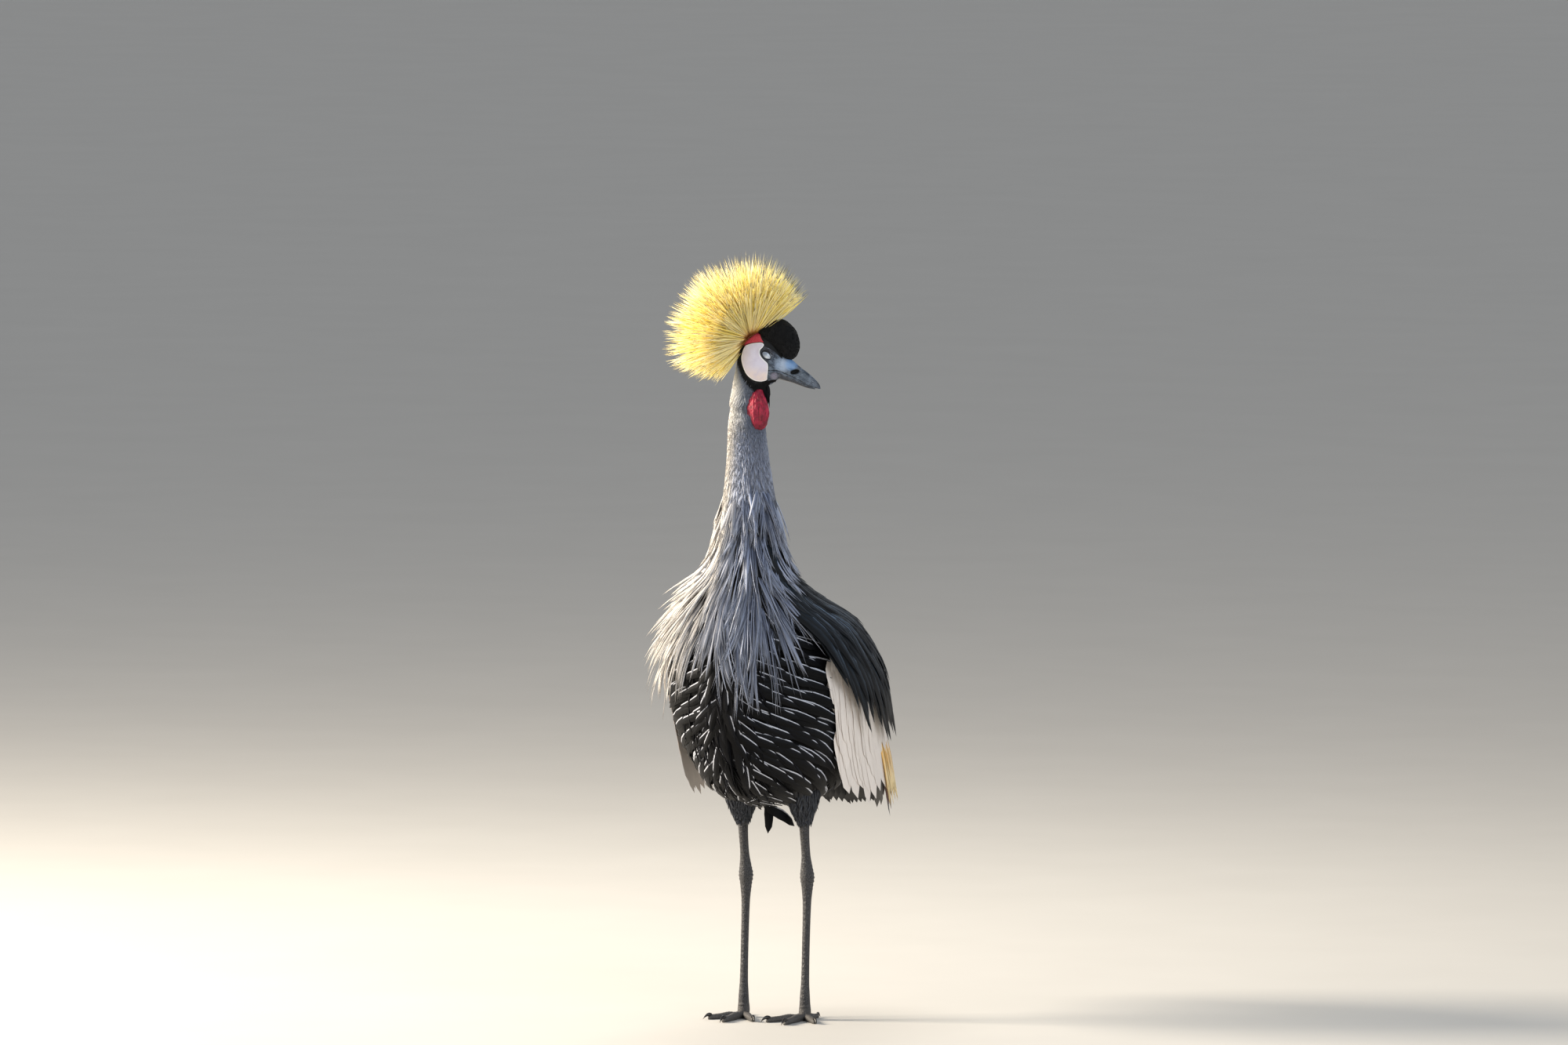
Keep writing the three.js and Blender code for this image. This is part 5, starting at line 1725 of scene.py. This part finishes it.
# %% [markdown]
# The wing's coverts are broad and so close that they read as one smooth cream panel. Under their
# edge come straw-coloured plumes with loose barbs, then chestnut secondaries and black quills. One
# helper lays a part of a wing from the angles and heights of its roots, and keeps it on its own
# side of the seam where the two wings meet over the back.

# %% Wings
CREAM, STRAW = rgb(0xE9E0D8), rgb(0xE2B05A)
STRAW_PALE, CHESTNUT, BLACK = rgb(0xF2DFAE), rgb(0x5B2B1B), rgb(0x121214)


def on_wing(start, end):
    return lambda share, a, z: wing_thick(a) + start + (end - start) * share**0.45


def wing_part(name, side, seed, finish, angle, height, heading, length, half, lift, shape, tones,
              count=6, section=VANE, thick=1.0, roll=0.08, uneven=0.12):
    draw = np.random.default_rng(seed)
    many = len(angle)
    length = length * (0.88 + 0.24 * draw.random(many))
    line, out = strands(
        side * angle, height, side * heading + jitter(draw, many, 3), length, lift, count,
        turn=-side * 8 + jitter(draw, many, 5),
    )
    flat = line.reshape(-1, 3)
    line = own_side(side)(flat).reshape(line.shape)
    shade = (1 + jitter(draw, many, uneven))[:, None]
    return feathers(
        name, finish, line, out, half * (0.88 + 0.24 * draw.random(many)), shape,
        tones[0] * shade, tones[1] * shade, bake_place(side * angle, height), section=section,
        thick=thick, roll=jitter(draw, many, roll), crisp=len(section) > 3, seed=seed + 1,
    )


def tier(draw, front, rear, many, height_front, height_rear):
    share = (np.arange(many) + 0.5 + jitter(draw, many, 0.35)) / many
    return front + (rear - front) * share, height_front + (height_rear - height_front) * share


def wing(side, name, seed):
    draw = np.random.default_rng(seed)
    wing_pad = pad(22, 44, wing_place(side), lambda a, z: wing_thick(a), within=own_side(side))
    one_tone(piece("wing_pad_" + name, wing_pad, covert_material, "wing_" + name), CREAM)
    angle, height = shaken_grid(draw, np.arange(72, 174, 6.5), np.arange(534, 398, -10.5))
    top_edge = 538 - 40 * (angle - 72) / 100
    keep = height < top_edge
    angle, height = angle[keep], height[keep]
    low = smooth(-height, -520, -420)
    wing_part(
        "coverts_" + name, side, seed + 1, covert_material, angle, height, 4 + 14 * low,
        78 + 16 * low, 15, on_wing(-0.9, 0.3), BLUNT, (CREAM, CREAM), thick=0.3, roll=0.02,
        uneven=0.03,
    )
    angle, height = tier(draw, 104, 172, 120, 400, 390)
    height = height + jitter(draw, 120, 12)
    wing_part(
        "straw_plumes_" + name, side, seed + 2, straw_material, angle, height,
        np.full(120, 12.0), 96, 3.4, on_wing(-3.5, 4.0), PLUME, (STRAW, STRAW_PALE), count=8,
        section=LOCK, roll=0.5,
    )
    angle, height = tier(draw, 112, 172, 15, 400, 397)
    wing_part(
        "secondaries_" + name, side, seed + 3, secondary_material, angle, height,
        np.full(15, 10.0), 112, 12, on_wing(-6.5, -4.0), BLUNT, (CHESTNUT, CHESTNUT * 0.7), count=8,
    )
    angle, height = tier(draw, 116, 168, 10, 388, 384)
    wing_part(
        "quills_" + name, side, seed + 4, quill_material, angle, height,
        np.full(10, 18.0), 120, 10, on_wing(-12, -10.5), BLUNT, (BLACK, BLACK), count=8,
    )


covert_material = plumage("wing_covert", barbs=0.06, grain=70.0, relief=0.00006, uneven=0.05)
straw_material = plumage(
    "straw_plume", shaft=rgb(0xFBF3DC), shaft_share=0.12, shaft_amount=0.5, barbs=0.28,
    edge=rgb(0xB98F4A), edge_amount=0.4,
)
secondary_material = plumage("secondary", shaft=rgb(0x2A1410), barbs=0.3, grain=90.0, rough=0.5)
quill_material = plumage("black_quill", shaft=rgb(0x4A4A50), barbs=0.4, grain=90.0, rough=0.45)
wing(1, "left", 60)
wing(-1, "right", 70)
print("a wing covers", WING["rear"] - WING["front"], "degrees of the drape")

# %% [markdown]
# The short tail hides under the wings. Its root is a loft that grows out of the rump, and twelve
# black quills fan from it with the middle pair on top.

# %% Tail
TAIL = {"height": 396, "under": -7.0, "spacing": 3.4, "spread": 4.4, "quills": 6, "length": 128}
TAIL_ROOT = [
    # back, height, half width, half depth
    (190, 408, 24, 14),
    (205, 402, 24, 13.4),
    (225, 393, 24, 12),
    (242, 384, 23, 9.4),
    (258, 374, 21, 6.4),
]


def tail():
    c, s = superellipse(40)
    root_mesh = bmesh.new()
    loft(root_mesh, np.array([
        np.stack([half * c, y + 0.5 * thick * s, z + 0.85 * thick * s], -1)
        for y, z, half, thick in TAIL_ROOT
    ]))
    one_tone(piece("tail_root", root_mesh, down_material, "tail"), INK)
    fan, layer, length = [], [], []
    for side in (-1, 1):
        for i in range(TAIL["quills"]):
            fan.append(side * (i + 0.5))
            layer.append(2 * i + (side > 0))
            length.append(TAIL["length"] * (1 - 0.02 * i))
    fan, layer, length = (np.array(v, float) for v in (fan, layer, length))
    lift = lambda share, a, z: TAIL["under"] - 0.8 * layer
    full, height = np.full(12, 180.0), np.full(12, float(TAIL["height"]))
    line, out = strands(full, height, 0 * full, length, lift, 9)
    along = np.linspace(0, 1, 10)
    line[:, :, 0] += fan[:, None] * (TAIL["spacing"] + TAIL["spread"] * along)
    feathers(
        "tail_quills", quill_material, line, out, 10.5, BLUNT, BLACK, BLACK * 1.2,
        bake_place(full + fan, height), thick=1.1, seed=81,
    )


tail()

# %% [markdown]
# The crown of stiff golden bristles is what the bird is named for. They fan out of a pad on the
# hind crown. Their directions fill a wide cone evenly, by the same spiral that seeds make in a
# sunflower, and their colour runs from orange-gold at the root to pale lemon. Some tips are dark.

# %% Crest
CREST_AT = np.array([-22.0, 0.0, 21.0])
CREST = {"middle": 135, "ahead": 97, "aside": 58, "length": 127}
PAD_AT, PAD_HALF = np.array([-24.0, 0.0, 12.0]), np.array([19.5, 10.5, 24.0])
BRISTLES = 4600


def crest_direction(turn, share):
    c, s = np.cos(turn), np.sin(turn)
    bend = np.radians(share / np.hypot(c / CREST["ahead"], s / CREST["aside"]))
    along, side, out = np.sin(bend) * c, np.sin(bend) * s, np.cos(bend)
    tip = math.radians(CREST["middle"])
    cos_tip, sin_tip = math.cos(tip), math.sin(tip)
    return np.stack([out * cos_tip + along * sin_tip, side, out * sin_tip - along * cos_tip], -1)


def crest_reach(direction):
    low = smooth(-direction[:, 2], 0.2, 0.8)
    ahead = smooth(direction[:, 0], 0.2, 0.9)
    return CREST["length"] * (1 - 0.38 * low - 0.15 * ahead)


def pad_depth(direction):
    d, o = direction / PAD_HALF, (CREST_AT - PAD_AT) / PAD_HALF
    a, b, c = np.sum(d * d, -1), d @ o, o @ o - 1
    return (-b + np.sqrt(b * b - a * c)) / a


def crest():
    draw = np.random.default_rng(91)
    i = np.arange(BRISTLES)
    turn = i * math.pi * (3 - math.sqrt(5))
    direction = crest_direction(turn, np.sqrt((i + 0.5) / BRISTLES))
    direction = unit(direction + 0.035 * draw.standard_normal((BRISTLES, 3)))
    reach = crest_reach(direction) * (1.03 - 0.36 * draw.random(BRISTLES) ** 1.5)
    start = pad_depth(direction) - 3.5
    share = np.linspace(0, 1, 6)[None, :, None]
    far = start[:, None, None] + (reach - start)[:, None, None] * share
    sag = 7.0 * draw.random(BRISTLES)[:, None, None] ** 2 * share**2
    bow = 9.0 * draw.standard_normal((BRISTLES, 1, 3)) * share * (1 - share)
    line = CREST_AT + direction[:, None] * far + bow - sag * np.array([0, 0, 1.0])
    aside = unit(np.cross(direction, draw.standard_normal((BRISTLES, 3))))
    out = np.repeat(aside[:, None], 6, 1)
    swung = from_head(line), from_head(out) - EYE_LINE
    gold = rgb(0xFFC040) * (0.85 + 0.3 * draw.random((BRISTLES, 1)))
    lemon = draw.random((BRISTLES, 1)) ** 1.5
    pale = rgb(0xFFF4C4) * (1 - lemon) + rgb(0xFFE668) * lemon
    pale = pale * (0.95 + 0.25 * draw.random((BRISTLES, 1)))
    wide = 0.45 * np.sqrt((i + 0.5) / BRISTLES)
    spot = 0.5 + np.stack([wide * np.cos(turn), wide * np.sin(turn)], -1)
    return feathers(
        "crest_bristles", crest_material, *swung, 0.5, profile((0, 1.2), (0.5, 1), (1, 0.9)),
        gold, pale, spot, section=LOCK, thick=0.42, fade=(0.0, 0.26), ease=1.0, seed=92,
    )


def crest_finish():
    made = Finish("crest_bristle", roughness=0.45, specular_ior_level=0.35)
    _, along, _ = made.split(made.map("Feather"))
    chance = made.number("chance")
    bands = made.noise(made.combine(along * 46.0, chance * 60, 0.0), 1.0, 2.0)
    colour = made.shade(made.tint("tone"), bands * 0.4 + 0.86)
    dark_tip = along.ramp(0.84, 0.88) * chance.ramp(0.55, 0.6)
    colour = made.mix(dark_tip * 0.9, colour, rgb(0x2A1A0A))
    made.bump(bands, 0.0002, 0.5)
    return made.show(base_color=colour)


crest_material = crest_finish()
pad_mesh = bmesh.new()
bmesh.ops.create_uvsphere(pad_mesh, u_segments=56, v_segments=36, radius=1.0)
for v in pad_mesh.verts:
    v.co = metres(from_head(PAD_AT + np.array(v.co) * PAD_HALF * 0.985))
one_tone(piece("crest_pad", pad_mesh, crest_material, "crest"), rgb(0x8A4A14))
crest()

# %% [markdown]
# The face is edged with short black feathers like velvet pile, which turn white behind the nape.
# They leave the bare cheek, the red patch and the lores free, so their roots are drawn only where
# the stored outlines say that skin is feathered.

# %% Velvet pile of the cushion, chin and nape


def feathered(points):
    face = in_head(points)
    bare = np.maximum(side_depth(points, CHEEK), side_depth(points, RED))
    bare = np.maximum(bare, side_depth(points, LORES))
    in_eye = eye_reach(face[:, 0], face[:, 2]) < 1.7
    under_cushion = (face[:, 0] > -9) & (face[:, 2] > -3)
    return (points[:, 2] > 893) & (bare < -0.2) & ~in_eye & ~under_cushion & (face[:, 0] < 15)


def head_way(face):
    """The lie of the head's feathers, back over the crown and down the nape."""
    low = smooth(-face[:, 2], -12, 30)[:, None]
    return np.array([-1.0, 0, -0.25]) * (1 - low) + np.array([-0.32, 0, -1.0]) * low


def swing(way):
    return from_head(way) - EYE_LINE


def round_head(face, middle=-14.0):
    """A place for the bake patch, on the head unrolled round its upright axis."""
    turn = np.arctan2(face[:, 1], face[:, 0] - middle) / (2 * np.pi)
    return np.stack([turn % 1, 0.6 + face[:, 2] / 220], -1)


def head_pile():
    draw = np.random.default_rng(95)
    many = 11000
    points, normals = skin_samples(skin.data, many, draw, feathered)
    face = in_head(points)
    way = swing(head_way(face)) + 0.12 * draw.standard_normal((many, 3))
    depth = side_depth(points, BARE_NAPE)
    black = smooth(depth, -2.2, 0.3)[:, None]
    low = smooth(-points[:, 2], -938, -908)
    length = (15 - 10.5 * smooth(depth, -16, -1) + 5 * low) * (0.7 + 0.6 * draw.random(many))
    raised = (0.7 + 1.3 * low) * (1 + draw.random(many))
    line, out = lying(points, normals, way, length, 0.5, raised, 4)
    shade = 0.6 + 0.8 * draw.random((many, 1))
    tone = rgb(0x0C0C0E) * shade * black + nape_tone(points, 0.85 + 0.15 * shade) * (1 - black)
    return feathers(
        "head_pile", pile_material, line, out, 0.6, LANCE, tone * 0.8, tone, round_head(face),
        section=LOCK, thick=0.35, ease=1.0, seed=96,
    )


def throat():
    """Long black feathers under the chin, which hang over the front of the wattle."""
    draw = np.random.default_rng(99)
    many = 260
    back = draw.random(many)
    aside, up = 9 * (draw.random(many) - 0.72), -43 - 5 * draw.random(many)
    root = np.stack([3 - 14 * back, aside, up], -1)
    length = 12 + 20 * draw.random(many) * (1 - back) ** 0.6
    share = np.linspace(0, 1, 8)[None, :, None]
    ahead = np.array([1.0, 0, 0]) * (1 + 2 * draw.random(many))[:, None, None] * share**0.6
    swerve = draw.standard_normal((many, 1, 3)) * (1.2, 1.2, 0) * share
    line = root[:, None] + np.array([0, 0, -1.0]) * length[:, None, None] * share + ahead + swerve
    out = np.tile(swing(np.array([[0.35, -1.0, 0]])), (many, 8, 1))
    tone = rgb(0x0C0C0F) * (0.5 + draw.random((many, 1)))
    return feathers(
        "throat_feathers", pile_material, from_head(line), out, 1.1, PLUME, tone, tone * 1.5,
        round_head(root), section=LOCK, thick=0.6, ease=1.0, seed=100,
    )


def cushion_pile():
    draw = np.random.default_rng(97)
    many = 15000
    points, normals = skin_samples(cushion.data, many, draw, lambda p: np.ones(len(p)))
    face = in_head(points)
    way = swing(np.tile([-1.0, 0, -0.1], (many, 1))) + 0.3 * draw.standard_normal((many, 3))
    line, out = lying(points, normals, way, 0.7, 0.4, 0.6 + 0.3 * draw.random(many), 3, bend=0.9)
    tone = rgb(0x070708) * (0.6 + 0.8 * draw.random((many, 1)))
    return feathers(
        "cushion_pile", velvet_pile, line, out, 0.3, PLUME, tone, tone, round_head(face, 20.0),
        section=LOCK, thick=0.25, ease=1.0, seed=98,
    )


pile_material = plumage("black_pile", barbs=0.3, rough=0.75)
velvet_pile = plumage("velvet_pile", barbs=0.3, rough=0.98, relief=0.00002)
head_pile()
cushion_pile()
throat()

# %% [markdown]
# Crane legs are long and nearly black, with a knobbed ankle joint half way up. Broad scutes run
# down the front and round scales cover the rest. The shape of each scute is in the mesh, as a
# shallow step that repeats down the loft, while the small scales are bump in the finish.

# %% Legs
LEG = [
    # height, offset forward, half width, half depth
    (18, 0, 8.0, 8.8),
    (22, 0, 7.8, 8.4),
    (34, 0, 7.2, 7.8),
    (55, 1, 5.9, 6.5),
    (110, 4, 5.5, 6.1),
    (170, 8, 6.1, 6.9),
    (194, 9, 8.3, 9.5),
    (208, 9, 10.1, 11.9),
    (222, 7, 8.5, 9.5),
    (240, 4, 6.5, 7.1),
    (270, -1, 6.7, 7.5),
    (296, -3, 8, 9),
]
SCUTE = 7.2  # millimetres from one scute to the next


def leg_rings(side):
    c, s = superellipse(40)
    front = smooth(-s, 0.25, 0.75)
    rings = []
    for height in np.arange(18, 296.1, 0.9):
        _, forward, width, depth = between(LEG, height)
        step = (height / SCUTE) % 1
        ridge = 0.42 * (smooth(step, 0.0, 0.75) - smooth(step, 0.82, 1.0)) * front
        ridge = ridge * smooth(np.abs(height - 208), 12, 26)
        knob = 0.5 * np.sin(height * 1.1) * np.exp(-(((height - 206) / 14) ** 2)) * (1 - front)
        wide, deep = width + ridge + knob, depth + ridge + knob
        x = side * FEET_APART / 2 + wide * c
        rings.append(np.stack([x, FEET_Y + forward + deep * s, height + 0 * c], -1))
    return np.array(rings)


def leg_finish():
    horn = Finish("leg_scales", roughness=0.5, specular_ior_level=0.45)
    place = horn.place()
    x, y, z = horn.split(place)
    cell = horn.cells(horn.combine(x, y, z * 0.8), 0.42)
    crack = horn.cells(horn.combine(x, y, z * 0.8), 0.42, "DISTANCE_TO_EDGE")
    dust = horn.noise(place, 0.5, 4.0)
    colour = horn.mix(dust.ramp(0.35, 0.75), rgb(0x17171A), rgb(0x3A3A3F))
    colour = horn.mix(crack.ramp(0.12, 0.02, 0, 0.6), colour, rgb(0x5F5D5C))
    colour = horn.mix(z.ramp(30, 4, 0, 0.35), colour, rgb(0x6B665F))
    horn.bump(crack.least(0.16) * 5 + dust * 0.4 - cell * 0.3, 0.0005, 0.7)
    return horn.show(base_color=colour, roughness=dust * 0.25 + 0.38)


leg_material = leg_finish()
for side, name in ((-1, "right"), (1, "left")):
    leg_mesh = bmesh.new()
    loft(leg_mesh, leg_rings(side))
    piece("scaled_leg_" + name, leg_mesh, leg_material, "leg_" + name)

# %% [markdown]
# Each foot has three long toes in front and a short one behind, flat where they bear on the floor.
# A toe is a loft along its length whose rings are cut off at the floor, with pads under its joints
# and scutes across its top. The claws are lofts of their own that curve down to the floor.

# %% Feet and claws
TOES = [
    # angle from straight ahead, length, root radius
    (0, 92, 6.2),
    (36, 70, 5.6),
    (-34, 78, 5.8),
    (168, 40, 4.8),
]
TOE = [
    # share of length, height in radii, radius
    (-0.06, 1.3, 0.8),
    (0.05, 0.85, 1.03),
    (0.2, 0.84, 0.85),
    (0.36, 0.84, 0.95),
    (0.56, 0.84, 0.8),
    (0.72, 0.84, 0.74),
    (0.8, 0.86, 0.66),
    (0.86, 1.0, 0.4),
]
CLAW = [
    # share of length, height in radii, half width and half depth
    (0.79, 1.15, 0.42, 0.5),
    (0.84, 1.3, 0.42, 0.52),
    (0.88, 1.3, 0.36, 0.44),
    (0.92, 1.1, 0.27, 0.33),
    (0.96, 0.75, 0.16, 0.2),
    (0.995, 0.25, 0.05, 0.06),
]
ANKLE = [
    (0.3, -2, 8.0, 8.6),
    (1.5, -2, 8.6, 9.2),
    (12, 0, 8.8, 9.6),
    (22, 0, 7.9, 8.5),
    (26, 0, 7.5, 8.1),
]


def toe_frame(side, angle, across, ahead, up):
    a = math.radians(angle) * side
    x = side * FEET_APART / 2 + across * math.cos(a) + ahead * math.sin(a)
    y = FEET_Y + across * math.sin(a) - ahead * math.cos(a)
    return np.stack([x, y, up + 0 * across], -1)


def toe_rings(side, angle, length, radius):
    c, s = superellipse(36)
    rings = []
    for share in np.linspace(-0.06, 0.86, 110):
        _, height, r = between(TOE, share)
        step = (share * length / 4.4) % 1
        ridge = 0.3 * (smooth(step, 0, 0.7) - smooth(step, 0.8, 1.0)) * smooth(s, 0.2, 0.8)
        half = r * radius + ridge
        up = np.maximum(height * r * radius + half * s, 0.25)
        rings.append(toe_frame(side, angle, half * c, share * length, up))
    return np.array(rings)


def claw_rings(side, angle, length, radius):
    c, s = superellipse(24)
    rings = []
    for share in np.linspace(0.79, 0.995, 28):
        _, height, wide, deep = between(CLAW, share)
        up = np.maximum((height + deep * s) * radius, 0.3)
        rings.append(toe_frame(side, angle, wide * radius * c, share * length, up))
    return np.array(rings)


def claw_finish():
    horn = Finish("claw_horn", roughness=0.3)
    place = horn.place()
    worn = horn.noise(place, 0.7, 3.0)
    horn.bump(worn, 0.0003, 0.4)
    return horn.show(base_color=horn.mix(worn.ramp(0.4, 0.7), rgb(0x0D0C0C), rgb(0x37322E)))


claw_material = claw_finish()
for side, name in ((-1, "right"), (1, "left")):
    foot_mesh = bmesh.new()
    claw_mesh = bmesh.new()
    for toe in TOES:
        loft(foot_mesh, toe_rings(side, *toe))
        loft(claw_mesh, claw_rings(side, *toe))
    c, s = superellipse(40)
    ankle_rings = []
    for height in np.linspace(0.3, 26, 30):
        _, forward, width, depth = between(ANKLE, height)
        x = side * FEET_APART / 2 + width * c
        ankle_rings.append(np.stack([x, FEET_Y + forward + depth * s, height + 0 * c], -1))
    loft(foot_mesh, np.array(ankle_rings))
    piece("scaled_foot_" + name, foot_mesh, leg_material, "foot_" + name)
    piece("claws_" + name, claw_mesh, claw_material)
print("toes on each foot:", len(TOES))

# %% [markdown]
